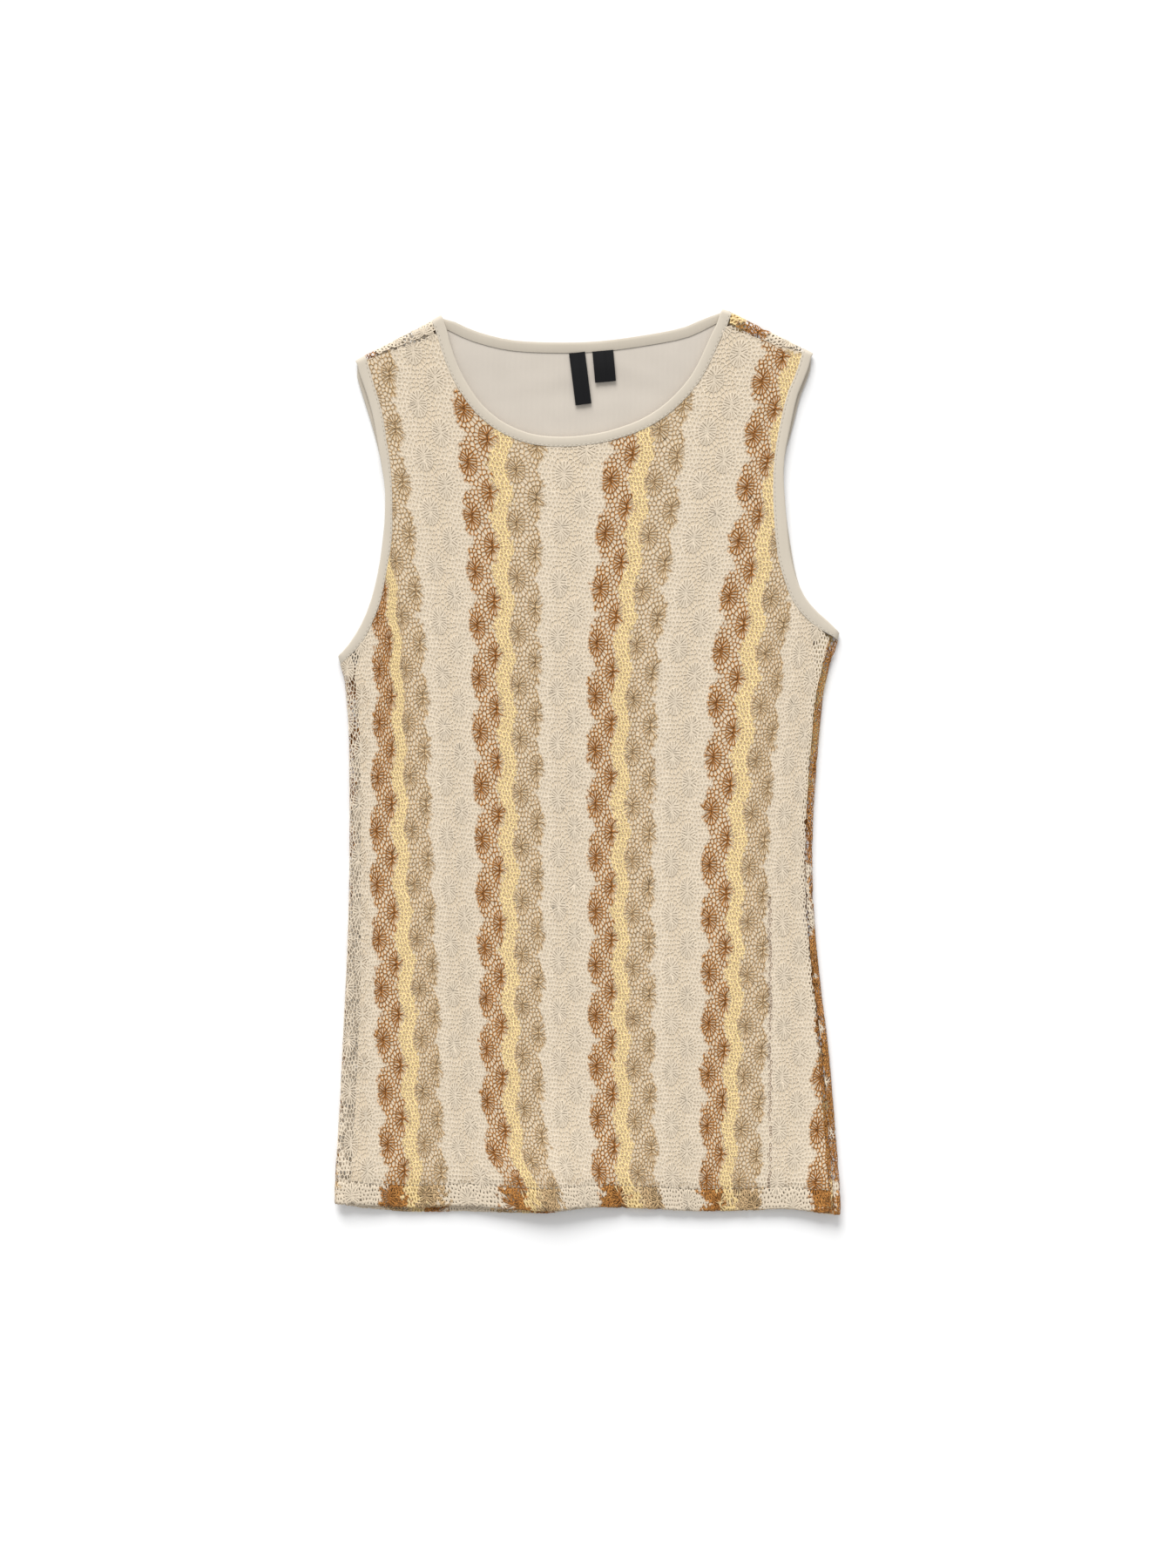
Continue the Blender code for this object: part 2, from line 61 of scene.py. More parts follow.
# %% Heights of the layers and the roundness of the folds
HALF = 2.8  # half of the whole stack, from the floor to the top face
SIDE_ROUND = 5.0
SHOULDER_ROUND = 3.2
SIDE_TOP = {-1: 80.0, 1: 95.0}  # the side folds end below these heights
HEM_DEPTH = 16.0
HEM_ROUND = 1.0
HEM_TURNED = 17.4  # the turned-in edge ends a little above the stitching
BAND_FRONT_Z, BAND_BACK_Z = 4.45, 1.3  # middles of the bands
BAND_HALF = 1.3
NECK_BAND = 7.3
LINING_INSET = 8.0
FRONT_LINING_TOP, BACK_LINING_LOW = 4.93, 0.8

# y, left fold x, right fold x
SIDES = [
    (95.0, -172.4, 173.6), (84.0, -172.4, 172.6), (76.0, -172.4, 170.4),
    (68.7, -171.2, 167.6), (56.7, -167.9, 164.6), (44.7, -166.7, 162.2),
    (20.7, -164.9, 159.8), (-27.3, -164.3, 156.2), (-63.3, -164.3, 155.0),
    (-99.3, -164.9, 155.8), (-147.3, -166.7, 159.8), (-195.3, -169.1, 165.8),
    (-243.3, -171.5, 170.0), (-291.3, -174.3, 173.6), (-313.0, -173.9, 174.2),
]

# x, front hem y, back hem y
HEMS = [
    (-186.0, -304.6, -305.0), (-174.4, -304.6, -305.0), (-146.8, -306.3, -308.7),
    (-116.8, -307.5, -310.6), (-86.8, -306.3, -310.2), (-56.9, -308.1, -310.9),
    (-26.8, -309.3, -310.9), (3.1, -306.9, -307.6), (39.1, -308.1, -308.4),
    (75.1, -309.9, -310.2), (111.1, -309.3, -309.6), (138.2, -308.3, -308.6),
    (160.0, -310.8, -311.2), (174.2, -311.9, -312.1), (186.0, -311.9, -312.1),
]

# Flutes of the hem off the floor: x, height, half width, reach up from the hem
FLUTES = [(-21.0, 5.0, 36.0, 46.0), (176.0, 3.5, 30.0, 32.0), (-172.0, 2.5, 26.0, 30.0)]
# Soft swells of the front: x, y, height, half width across, half width along
SWELLS = [
    (-95.0, -40.0, 1.1, 34.0, 150.0), (15.0, 60.0, 1.2, 40.0, 130.0),
    (70.0, -170.0, 1.2, 34.0, 110.0), (-50.0, -220.0, 0.9, 38.0, 90.0),
]
# where they begin and where they are whole: in from the folds, and down the front, in -y
SWELL_IN, SWELL_DOWN = (8, 50), (-262, -215)

# %% Seams of the bands and the shoulders
# x, y of the seam between the front panel and the neck band, left shoulder to right
NECK_FRONT = [
    (-106.6, 301.1), (-104.5, 296.0), (-99.0, 277.4), (-92.2, 261.9), (-84.0, 248.5),
    (-74.7, 237.6), (-60.6, 226.9), (-41.2, 219.0), (-20.8, 216.6), (-0.4, 217.8),
    (19.3, 221.8), (41.4, 230.1), (59.7, 242.5), (74.4, 258.1), (83.0, 272.2),
    (91.2, 290.3), (96.5, 300.7), (98.4, 306.7),
]
NECK_FREE_ENDS = (-99.7, 305.2), (91.5, 309.4)  # of the band's free edge on the front

# x, y of the free edge of the neck band at the back, left shoulder to right
NECK_BACK = [
    (-99.7, 305.6), (-94.0, 304.6), (-86.8, 300.9), (-72.5, 295.5), (-50.9, 290.7),
    (-20.8, 289.3), (6.8, 290.1), (35.5, 293.7), (64.3, 299.1), (78.8, 305.1),
    (91.5, 309.6),
]

# Armhole band on the front, shoulder to underarm:
# seam x, seam y, free x, free y, and how far the back one sticks out past it
LEFT_ARMHOLE = [
    (-152.1, 277.3, -158.9, 273.7, 0.0), (-149.8, 269.7, -157.0, 266.7, 2.4),
    (-145.5, 255.0, -152.4, 253.5, 3.2), (-141.2, 239.5, -148.0, 238.2, 2.8),
    (-138.6, 222.3, -144.9, 221.1, 1.0), (-136.0, 205.9, -142.3, 204.9, 0.0),
    (-134.7, 188.7, -139.8, 188.7, 0.0), (-134.4, 170.7, -139.8, 170.7, 0.0),
    (-135.0, 151.5, -141.0, 152.1, 0.6), (-138.0, 133.5, -143.5, 135.6, 0.4),
    (-142.0, 112.2, -148.3, 114.9, 0.0), (-147.1, 98.3, -153.6, 99.9, 0.0),
    (-153.8, 84.4, -159.8, 88.2, 0.0), (-160.8, 75.8, -165.1, 80.4, 0.0),
    (-167.2, 69.8, -169.3, 75.6, 0.0),
]
RIGHT_ARMHOLE = [
    (147.5, 282.1, 154.0, 278.8, 0.0), (145.1, 273.1, 151.7, 270.3, 1.8),
    (141.2, 262.7, 147.6, 260.1, 2.2), (137.4, 254.1, 144.0, 251.1, 2.2),
    (134.4, 242.7, 141.4, 239.5, 2.0), (131.5, 229.5, 138.6, 226.2, 1.4),
    (129.0, 214.5, 136.0, 213.0, 0.2), (127.5, 197.7, 134.9, 197.7, 0.0),
    (127.5, 180.1, 135.9, 180.3, 0.0), (128.3, 164.7, 137.2, 164.7, 0.4),
    (130.0, 145.5, 139.0, 146.1, 1.4), (133.9, 129.0, 142.4, 129.9, 1.0),
    (140.5, 111.5, 148.4, 115.5, 0.0), (150.2, 98.5, 156.4, 105.0, 0.0),
    (160.9, 90.4, 165.8, 96.6, 0.0), (168.8, 86.2, 170.4, 92.0, 0.0),
]

# Where each band turns over a fold: seam x, seam y, free x, free y
NECK_FOLDS = (-107.8, 303.4, -100.9, 307.5), (99.5, 309.0, 92.6, 311.6)
LEFT_FOLDS = (-153.3, 279.7, -160.0, 276.0), (-169.7, 66.9, -171.6, 73.0)
RIGHT_FOLDS = (148.7, 284.4, 155.2, 281.0), (171.7, 83.6, 172.9, 89.0)

# Shoulder fold: neck end, armhole end, and the distance of the seam from the fold on
# the front at the neck, at two thirds and at the armhole
SHOULDERS = {
    -1: ((-108.1, 304.0), (-158.8, 277.5), (9.0, 4.4, 3.5)),
    1: ((99.8, 309.6), (155.5, 281.7), (8.1, 7.3, 3.8)),
}
# the stretch of the shoulder fold that the lace covers, along it from the neck end
SHOULDER_SPAN = {-1: (0.9, 50.9), 1: (1.3, 54.6)}
# nothing nearer to the middle or lower than this bends over the shoulder folds
SHOULDER_IN, SHOULDER_LOW = 50, 240

# %% [markdown]
# A smooth curve through a short table is enough for every edge here. The helpers below
# work on whole arrays at once, because the net has a hundred thousand corners.

# %% Curves through the tables
def spline(rows, steps=10):
    """Points along a Catmull-Rom curve through rows of any width."""
    rows = np.array(rows, float)
    ends = np.vstack([2 * rows[0] - rows[1], rows, 2 * rows[-1] - rows[-2]])
    t = (np.arange(steps) / steps)[:, None]
    found = []
    for a, b, c, d in zip(ends, ends[1:], ends[2:], ends[3:]):
        square = (2 * a - 5 * b + 4 * c - d) * t**2
        found.append(0.5 * (2 * b + (c - a) * t + square + (3 * b - a - 3 * c + d) * t**3))
    return np.vstack([*found, rows[-1:]])


def spaced(points, count):
    """`count` points evenly spaced by length in x and y along a polyline."""
    steps = np.hypot(*np.diff(points[:, :2], axis=0).T)
    along = np.concatenate([[0], np.cumsum(steps)])
    at = np.linspace(0, along[-1], count)
    return np.column_stack([np.interp(at, along, c) for c in points.T])


SIDE_LINE = spline(SIDES)[::-1]
HEM_LINE = spline(HEMS)


def fold_x(side, y):
    return np.interp(y, SIDE_LINE[:, 0], SIDE_LINE[:, 1 if side < 0 else 2])


def hem_y(x, front):
    return np.interp(x, HEM_LINE[:, 0], HEM_LINE[:, 1 if front else 2])


def lift(x, y):
    """How far the flutes raise the cloth off the floor."""
    up = np.maximum(y - hem_y(x, True), 0)
    return sum(
        high * np.exp(-(((x - at) / wide) ** 2) - (up / reach) ** 2)
        for at, high, wide, reach in FLUTES
    )


def ease(value, low, high):
    t = np.clip((value - low) / (high - low), 0, 1)
    return t * t * (3 - 2 * t)


def swell(x, y):
    """How far the front stands up from the back, none at the folds."""
    depth = np.minimum(x - fold_x(-1, y), fold_x(1, y) - x)
    high = sum(
        h * np.exp(-(((x - at) / wide) ** 2) - ((y - up) / long) ** 2)
        for at, up, h, wide, long in SWELLS
    )
    return high * ease(depth, *SWELL_IN) * ease(-y, *SWELL_DOWN)


# %% [markdown]
# `lay` is the heart of the shape. It takes a point of the flat pattern and says where
# it lies once the cloth is bent over the side fold, the shoulder fold and the hem.
# `depth` is how far in from the outer face the point is, so a thread's crown and the
# edge of the hole beside it bend together.

# %% Bend a flat pattern over the folds
def quarter(a, b):
    """Length of a quarter of an ellipse."""
    return math.pi * (3 * (a + b) - math.sqrt((3 * a + b) * (a + 3 * b))) / 4


def bend(q, round_, depth):
    """Where cloth q beyond the start of a bend lies: outwards, and up or down."""
    length = quarter(round_, HALF)
    turn = np.radians(90 * np.clip(q / length, 0, 2) - 90)
    out = (round_ - depth) * np.cos(turn) - np.maximum(q - 2 * length, 0)
    return out, (HALF - depth) * np.sin(turn)


def turn_hem(x, y, depth, front):
    """Past the hem the cloth turns in and runs back up, one layer further in."""
    start = hem_y(x, front) + HEM_ROUND
    q = start - y
    length = quarter(HEM_ROUND, HEM_ROUND)
    turn = np.radians(90 * np.clip(q / length, 0, 2) - 90)
    past = start - (HEM_ROUND - depth) * np.cos(turn) + np.maximum(q - 2 * length, 0)
    within = HEM_ROUND + (HEM_ROUND - depth) * np.sin(turn)
    return np.where(q > 0, past, y), np.where(q > 0, within, depth)


def shoulder_frame(side):
    neck, arm, seams = SHOULDERS[side]
    neck, arm = np.array(neck), np.array(arm)
    along = (arm - neck) / np.linalg.norm(arm - neck)
    out = np.array([-along[1], along[0]]) * (1 if side > 0 else -1)
    return neck, along, out, seams


def lay(x, y, depth, front):
    y, depth = turn_hem(x, y, depth, front)
    face = 1 if front else -1
    flat = HALF + face * (HALF - depth) + (swell(x, y) if front else 0)
    z = flat + lift(x, y)
    for side in (-1, 1):
        start = fold_x(side, y) - side * SIDE_ROUND
        q = side * (x - start)
        bent = (q > 0) & (y < SIDE_TOP[side])
        out, up = bend(q, SIDE_ROUND, depth)
        side_x = start + side * out
        z = np.where(bent, HALF - face * up + lift(side_x, y), z)
        x = np.where(bent, side_x, x)
        neck, along, way, _ = shoulder_frame(side)
        offset = np.column_stack([x, y]) - neck
        q = offset @ way + SHOULDER_ROUND
        bent = (q > 0) & (side * x > SHOULDER_IN) & (y > SHOULDER_LOW)
        out, up = bend(q, SHOULDER_ROUND, depth)
        place = neck + np.outer(offset @ along, along) + np.outer(out - SHOULDER_ROUND, way)
        x, y = np.where(bent, place[:, 0], x), np.where(bent, place[:, 1], y)
        z = np.where(bent, HALF - face * up, z)
    return np.column_stack([x, y, z])


# %% [markdown]
# ## The lace repeat
# Lace of this kind is one small motif knitted over and over: a star of spokes, half
# dropped from one column to the next, in a ground of tall round holes. Rather than
# drawing it, the repeat is grown. Points are set on oval rings round each star and on a
# grid between them, and every point claims the cloth nearest to it. Each claimed cell
# is one hole, and the borders between cells are the threads.

# %% Grow one repeat of the lace
REPEAT = np.array([26.0, 36.0])  # across and along
STARS = np.array([[0.0, 0.0], [11.0, 18.0]])
TALL = 1.55  # holes are this much taller than wide
# two ovals of holes round a star: half their width, how tall they are, how far below the
# heart of the star their middle hangs, and how many holes are on them, the spokes first
OVALS = ((3.5, 2.0, 0.8, 20), (6.0, 1.85, 1.4, 22))
OVAL_CLEAR = 1.2  # the ground keeps this far from the outer oval
HOLE_PITCH = 2.2
SETTLING = 3  # how many times the ground evens itself out
RAGGED = 0.25  # how far the knitting wanders from the pattern, at first
RAGGED_OVALS, RAGGED_GROUND = 0.7, 2  # and what share of it on the ovals and in the ground
NEAR = 0.35  # crossings nearer than this are one
METRIC = np.array([1, 1 / TALL])


def oval(star, width, tall, drop, holes):
    """Points evenly spaced round an oval."""
    turn = np.linspace(0, 2 * math.pi, 721)
    line = np.column_stack([np.cos(turn), tall * np.sin(turn)]) * width
    along = np.linalg.norm(np.diff(line, axis=0), axis=1).cumsum()
    at = (np.arange(holes) + 0.25) / holes * along[-1]
    return star - (0, drop) + line[np.searchsorted(along, at)]


# %% Give every point its cell
def cell_corners(seeds):
    """The corners of each seed's cell in a repeating cloth, in order round it."""
    near = np.vstack([seeds + REPEAT * (i, j) for i in (0, -1, 1) for j in (0, -1, 1)])
    flat = [tuple(p) for p in near * METRIC]
    verts, _, faces, source, *_ = delaunay_2d_cdt(flat, [], [], 0, 1e-7)
    verts, faces = np.array(verts), np.array(faces)
    a, b, c = (verts[faces[:, k]] for k in range(3))
    ab, ac = b - a, c - a
    twice = 2 * (ab[:, 0] * ac[:, 1] - ab[:, 1] * ac[:, 0])
    bb, cc = (ab**2).sum(axis=1), (ac**2).sum(axis=1)
    across = ac[:, 1] * bb - ab[:, 1] * cc
    along = ab[:, 0] * cc - ac[:, 0] * bb
    middle = a + np.column_stack([across, along]) / twice[:, None]
    place = {seed: i for i, seeds_here in enumerate(source) for seed in seeds_here}
    cells = []
    for i in range(len(seeds)):
        mine = middle[(faces == place[i]).any(axis=1)]
        off = mine - verts[place[i]]
        cells.append(mine[np.argsort(np.arctan2(off[:, 1], off[:, 0]))] / METRIC)
    return cells


def centroid(cell):
    following = np.roll(cell, -1, axis=0)
    cross = cell[:, 0] * following[:, 1] - following[:, 0] * cell[:, 1]
    return ((cell + following) * cross[:, None]).sum(axis=0) / (3 * cross.sum())


def grow_repeat(pitch):
    """Cells of one repeat, those of the spokes first."""
    gaps = np.vstack([oval(star, *size) for size in OVALS for star in STARS])
    columns = round(REPEAT[0] / pitch)
    rows = 2 * round(REPEAT[1] / TALL / (pitch * math.sqrt(3)))
    step = REPEAT / (columns, rows)
    grid = [((i + 0.5 * (j % 2)), j) for j in range(rows) for i in range(columns)] * step
    free = np.ones(len(grid), bool)
    width, tall, drop, _ = OVALS[1]
    for star in STARS:
        away = grid - star + (0, drop)
        away -= REPEAT * np.round(away / REPEAT)  # from the nearest copy of the star
        from_star = np.linalg.norm(away / (1, tall), axis=1)
        free &= from_star > width + OVAL_CLEAR
    wander = np.random.default_rng(5).normal(0, RAGGED, (len(gaps) + len(grid), 2))
    gaps += RAGGED_OVALS * wander[:len(gaps)]
    grid = (grid + RAGGED_GROUND * wander[len(gaps):])[free]
    for _ in range(SETTLING):
        settled = cell_corners(np.vstack([gaps, grid]))[len(gaps):]
        grid = np.array([centroid(cell) for cell in settled])
    return cell_corners(np.vstack([gaps, grid])), OVALS[0][3] * len(STARS)


# %% Find the crossings that neighbouring cells share
def share_corners(cells):
    """Corner places in one repeat, and each cell as (corner, repeats across, along)."""
    places, rings = [], []
    for cell in cells:
        loop = []
        for corner in cell:
            for k, place in enumerate(places):
                delta = corner - place
                turns = np.round(delta / REPEAT)
                if np.abs(delta - turns * REPEAT).max() < NEAR:
                    break
            else:
                k = len(places)
                turns = np.floor(corner / REPEAT)
                places.append(corner - turns * REPEAT)
            key = (k, int(turns[0]), int(turns[1]))
            if not loop or loop[-1] != key:
                loop.append(key)
        if loop[0] == loop[-1]:
            loop.pop()
        rings.append(loop)
    return np.array(places), rings


def nearest_stars(cells):
    """For each cell, the star that it belongs to."""
    near = np.vstack([STARS + REPEAT * (i, j) for i in (-1, 0, 1) for j in (-1, 0, 1)])
    middles = np.array([cell.mean(axis=0) for cell in cells])
    far = np.linalg.norm((middles[:, None] - near[None]) * METRIC, axis=2)
    return near[far.argmin(axis=1)]


CELLS, SPOKE_CELLS = grow_repeat(HOLE_PITCH)
CORNERS, HOLES = share_corners(CELLS)
HOLE_STARS = nearest_stars(CELLS)
print(f"one repeat: {len(HOLES)} holes, {len(CORNERS)} crossings")

# %% [markdown]
# ## Where the stripes run
# The four yarns repeat every three columns of stars: brown, a yellow zigzag beside it,
# taupe, then a wide cream stretch. On the body the columns bow and spread towards the
# neck, because the cloth is stretched there. A table of where the brown and the taupe
# columns cross a few heights is enough to warp the whole lace.

# %% Places of the columns and rows of stars
COLUMN_HEIGHTS = (-330, -290, -250, -170, -60, 60, 150, 240, 320)
# column of stars: its x at each of those heights
COLUMNS = {
    -2: (-187.0, -188.0, -188.2, -188.5, -189.5, -187.0, -196.0, -224.0, -240.0),
    0: (-136.0, -136.7, -138.4, -141.8, -145.4, -143.3, -150.5, -172.1, -182.9),
    1: (-110.5, -111.8, -112.9, -115.1, -120.5, -125.0, -133.7, -146.9, -154.1),
    3: (-41.0, -57.0, -68.0, -69.8, -72.5, -74.9, -78.5, -85.1, -92.9),
    4: (-20.0, -33.5, -43.0, -44.9, -45.5, -47.3, -48.8, -49.7, -50.9),
    6: (17.0, 8.5, 7.0, 5.6, 5.6, 5.6, 11.6, 21.8, 33.2),
    7: (46.0, 36.0, 32.6, 31.4, 30.8, 32.3, 41.6, 51.2, 63.2),
    9: (81.2, 81.8, 82.4, 83.6, 84.2, 90.2, 103.7, 116.9, 129.2),
    10: (102.2, 104.0, 105.8, 109.4, 111.8, 121.4, 131.0, 144.2, 156.2),
    12: (156.0, 156.8, 158.4, 161.6, 156.8, 166.4, 183.2, 201.2, 216.2),
    15: (231.0, 232.0, 233.7, 237.0, 232.0, 242.0, 259.0, 277.0, 292.0),
}
# y of every other row of stars, the pitch of the rows outside those, and how much higher
# each column of stars is than that
ROW_HEIGHTS = (-268.5, -196.5, -126.9, -52.5, 21.9, 95.1, 170.7, 244.5, 317.0)
ROW_PITCH = 36.2
ROW_SHIFT = {-3: 8, 0: 6, 1: 6.5, 3: 0, 4: -5.3, 6: -12.3, 7: -14.1, 9: -17.5}
ROW_SHIFT |= {10: -19.5, 12: -20}
# On the back the stripes run in mirror order, which also turns its faces down.
# Column: its x at two heights
BACK_HEIGHTS = (-306.0, 294.0)
BACK_COLUMNS = {-3: (197.3, 303.9), 0: (121.9, 213.3)}
BACK_COLUMNS |= {12: (-178.1, -149.9), 15: (-253.1, -240.8)}
BACK_ROW, BACK_PITCH = -274.0, 36.4

# %% Warp the lace to them
LINE_STEP = 4.0


def column_table(columns, heights):
    """x of every whole column at heights LINE_STEP apart."""
    known = sorted(columns)
    whole = np.arange(known[0], known[-1] + 1)
    fine = spline([(h, *(columns[k][i] for k in known)) for i, h in enumerate(heights)])
    every = np.arange(heights[0], heights[-1] + LINE_STEP, LINE_STEP)
    lines = [np.interp(every, fine[:, 0], fine[:, 1 + i]) for i in range(len(known))]
    return every, whole, np.array([np.interp(whole, known, row) for row in np.array(lines).T])


FRONT_LINES = column_table(COLUMNS, COLUMN_HEIGHTS)
BACK_LINES = column_table(BACK_COLUMNS, BACK_HEIGHTS)


def lace_place(column, row, front):
    """Where a point of the lace, counted in repeats, falls on the flat pattern."""
    if front:
        rows = np.arange(len(ROW_HEIGHTS)) * 2
        y = np.interp(row, rows, ROW_HEIGHTS)
        y = y + ROW_PITCH * (np.minimum(row, 0) + np.maximum(row - rows[-1], 0))
        y = y + np.interp(column, list(ROW_SHIFT), list(ROW_SHIFT.values()))
    else:
        y = BACK_ROW + BACK_PITCH * row
    every, whole, table = FRONT_LINES if front else BACK_LINES
    up = np.clip((y - every[0]) / LINE_STEP, 0, len(every) - 1.001)
    across = np.clip(column - whole[0], 0, len(whole) - 1.001)
    i, j = up.astype(int), across.astype(int)
    fi, fj = up - i, across - j
    low = table[i, j] * (1 - fj) + table[i, j + 1] * fj
    high = table[i + 1, j] * (1 - fj) + table[i + 1, j + 1] * fj
    return low * (1 - fi) + high * fi, y


# %% Colour the stripes
# where brown, yellow, taupe and cream start, beyond a column of brown stars, and how much
# further at the height of a star; brown and taupe bulge back, over their stars
EDGES = ((3.4, -8.7), (9.8, 5.6), (24.8, -4.6), (34.8, 6.2))


def stripe_edges(row):
    """Where brown, yellow, taupe and cream start across three columns, in millimetres."""
    # 0 at the height of a left or a right star, 1 midway between two of them
    left, right = (2 * np.abs(row - at - np.round(row - at)) for at in (0.0, 0.5))
    round_left, round_right = np.sqrt(1 - left**2), np.sqrt(1 - right**2)
    bulges = round_left, 1 - right, 1 - left, round_right
    return [start + reach * bulge for (start, reach), bulge in zip(EDGES, bulges)]


def yarn_weights(column, row):
    """How much brown, yellow and taupe yarn there is at a point."""
    across = (column % 3) * REPEAT[0]
    brown, yellow, taupe, cream = stripe_edges(row)
    next_brown = 3 * REPEAT[0] + brown
    is_brown = (across > brown) & (across < yellow) | (across > next_brown)
    is_yellow = (across >= yellow) & (across < taupe)
    is_taupe = (across >= taupe) & (across < cream)
    return np.column_stack([is_brown, is_yellow, is_taupe]).astype(float)


def in_band(column, row):
    """The close zigzag band between two columns of stars."""
    across = (column % 1) * REPEAT[0]
    _, start, end, _ = stripe_edges(row)
    return (across > start) & (across < end)


# %% [markdown]
# ## Cloth outlines
# Each panel is cut along the same edges as its solid. At the bands it is cut a little
# larger, because the real panel is sewn inside the folded band.

# %% Stations along the bands
def offset_rows(line, width, first, last, count):
    """Band stations: the seam line, and its other edge `width` to its left."""
    seam = spaced(spline(line), count)
    way = np.gradient(seam, axis=0)
    way /= np.linalg.norm(way, axis=1)[:, None]
    other = seam + width * np.column_stack([-way[:, 1], way[:, 0]])
    other[0], other[-1] = first, last
    other[1] = 0.5 * (other[1] + other[0] + seam[1] - seam[0])
    other[-2] = 0.5 * (other[-2] + other[-1] + seam[-2] - seam[-1])
    return np.column_stack([seam, other])


def armhole_stations(rows, side, count):
    front = spaced(spline(rows), count)
    back = front.copy()
    back[:, [0, 2]] += side * front[:, 4:5]
    return front[:, :4], back[:, :4]


NECK_STATIONS = offset_rows(NECK_FRONT, NECK_BAND, *NECK_FREE_ENDS, 36)
NECK_BACK_STATIONS = offset_rows(NECK_BACK, -NECK_BAND, NECK_FRONT[0], NECK_FRONT[-1], 24)
NECK_BACK_STATIONS = NECK_BACK_STATIONS[:, [2, 3, 0, 1]]
LEFT_STATIONS = armhole_stations(LEFT_ARMHOLE, -1, 24)
RIGHT_STATIONS = armhole_stations(RIGHT_ARMHOLE, 1, 24)
TUCK = 1.6  # how far a panel runs on under a band
SEAM_GAP = 0.3
# heights where the sides of the lace start and end, and the corner below the right armhole
BELOW_HEM, LEFT_END, RIGHT_END, RIGHT_BACK_END = -330.0, 66.4, 84.0, 80.0
UNDER_RIGHT_ARM = (172.5, 84.5)


def panel_edges(front, tuck):
    """A panel's edges inside the left armhole band, the right one and the neck band."""
    face = 0 if front else 1
    neck = NECK_STATIONS if front else NECK_BACK_STATIONS
    edges = []
    for stations in (LEFT_STATIONS[face], RIGHT_STATIONS[face], neck):
        seam, free = stations[:, :2], stations[:, 2:]
        way = (free - seam) / np.linalg.norm(free - seam, axis=1)[:, None]
        edges.append((seam + tuck * way).tolist())
    return edges


# %% Outlines of the lace panels
def shoulder_point(side, share, out_by):
    neck, along, out, _ = shoulder_frame(side)
    low, high = SHOULDER_SPAN[side]
    return (neck + along * (low + (high - low) * share) + out * out_by).tolist()


def side_chain(side, past, low, high):
    """Points up a side edge that lies `past` beyond the start of the side bend."""
    heights = np.linspace(low, high, 24)
    return [(float(fold_x(side, y)) - side * SIDE_ROUND + side * past, y) for y in heights]


def lace_outline(front):
    """Round the panel: hem, right side, armhole, shoulder, neck, and back to the hem."""
    hem_turn = 2 * quarter(HEM_ROUND, HEM_ROUND) + HEM_TURNED - 2 * HEM_ROUND
    fold = quarter(SIDE_ROUND, HALF)
    right_past = -SEAM_GAP if front else 2 * fold
    left = side_chain(-1, fold, BELOW_HEM, LEFT_END)
    right = side_chain(1, right_past, BELOW_HEM, RIGHT_END if front else RIGHT_BACK_END)
    hem = []
    for x in np.linspace(left[0][0], right[0][0], 60):
        hem.append((x, float(hem_y(x, front)) - hem_turn))
    left = [p for p in left if p[1] > hem[0][1] + 1]
    right = [p for p in right if p[1] > hem[-1][1] + 1]
    left_arm, right_arm, neck = panel_edges(front, TUCK)
    over = 2 * quarter(SHOULDER_ROUND, HALF) - 2 * SHOULDER_ROUND  # cloth that the fold takes
    tops = {-1: [], 1: []}
    for side, top in tops.items():
        for share in np.linspace(1, 0, 7):
            seam = float(np.interp(share, (0, 0.67, 1), SHOULDERS[side][2]))
            out_by = -seam - SEAM_GAP if front else over + seam
            top.append(shoulder_point(side, share, out_by))
    outline = hem + right
    if not front:
        outline += [(right[-1][0] - 2, RIGHT_END), UNDER_RIGHT_ARM]
    outline += [p for p in right_arm[::-1] if p[0] < outline[-1][0] - 1]
    outline += tops[1] + neck[::-1][1:-1] + tops[-1][::-1]
    outline += [p for p in left_arm if p[0] > left[-1][0] + 1] + left[::-1]
    return np.array(outline)


# %% Which points are in an outline, and where it is nearest
def inside(points, outline):
    x, y = points.T
    found = np.zeros(len(points), bool)
    for (ax, ay), (bx, by) in zip(outline, np.roll(outline, -1, axis=0)):
        if ay != by:
            cross = (ay > y) != (by > y)
            found ^= cross & (x < (bx - ax) * (y - ay) / (by - ay) + ax)
    return found


def snapped(points, outline):
    """Each point moved to the nearest place on the outline."""
    best, place = np.full(len(points), np.inf), points.copy()
    for a, b in zip(outline, np.roll(outline, -1, axis=0)):
        way = b - a
        t = np.clip((points - a) @ way / max(way @ way, 1e-9), 0, 1)
        here = a + t[:, None] * way
        far = ((points - here) ** 2).sum(axis=1)
        nearer = far < best
        best[nearer], place[nearer] = far[nearer], here[nearer]
    return place


# %% [markdown]
# ## Making the net
# Many copies of the repeat are laid side by side, warped to the columns and rows, and
# cut to the outline. Each cell then gets a ring of four-sided faces: the outer corners
# are the crown of the thread, shared with the next cell, and the inner corners are the
# edge of the hole, a little deeper. That is the cheapest mesh that still has real holes
# and rounded threads.

# %% Helpers that put a finished mesh in the scene
def add_object(name, mesh, material, node):
    mesh.materials.append(material)
    piece = bpy.data.objects.new(name, mesh)
    bpy.context.scene.collection.objects.link(piece)
    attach(piece, "root")
    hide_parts(node)
    return piece


def mesh_of(name, points, faces):
    mesh = bpy.data.meshes.new(name)
    mesh.from_pydata((points * MM).tolist(), [], faces)
    mesh.shade_smooth()
    return mesh


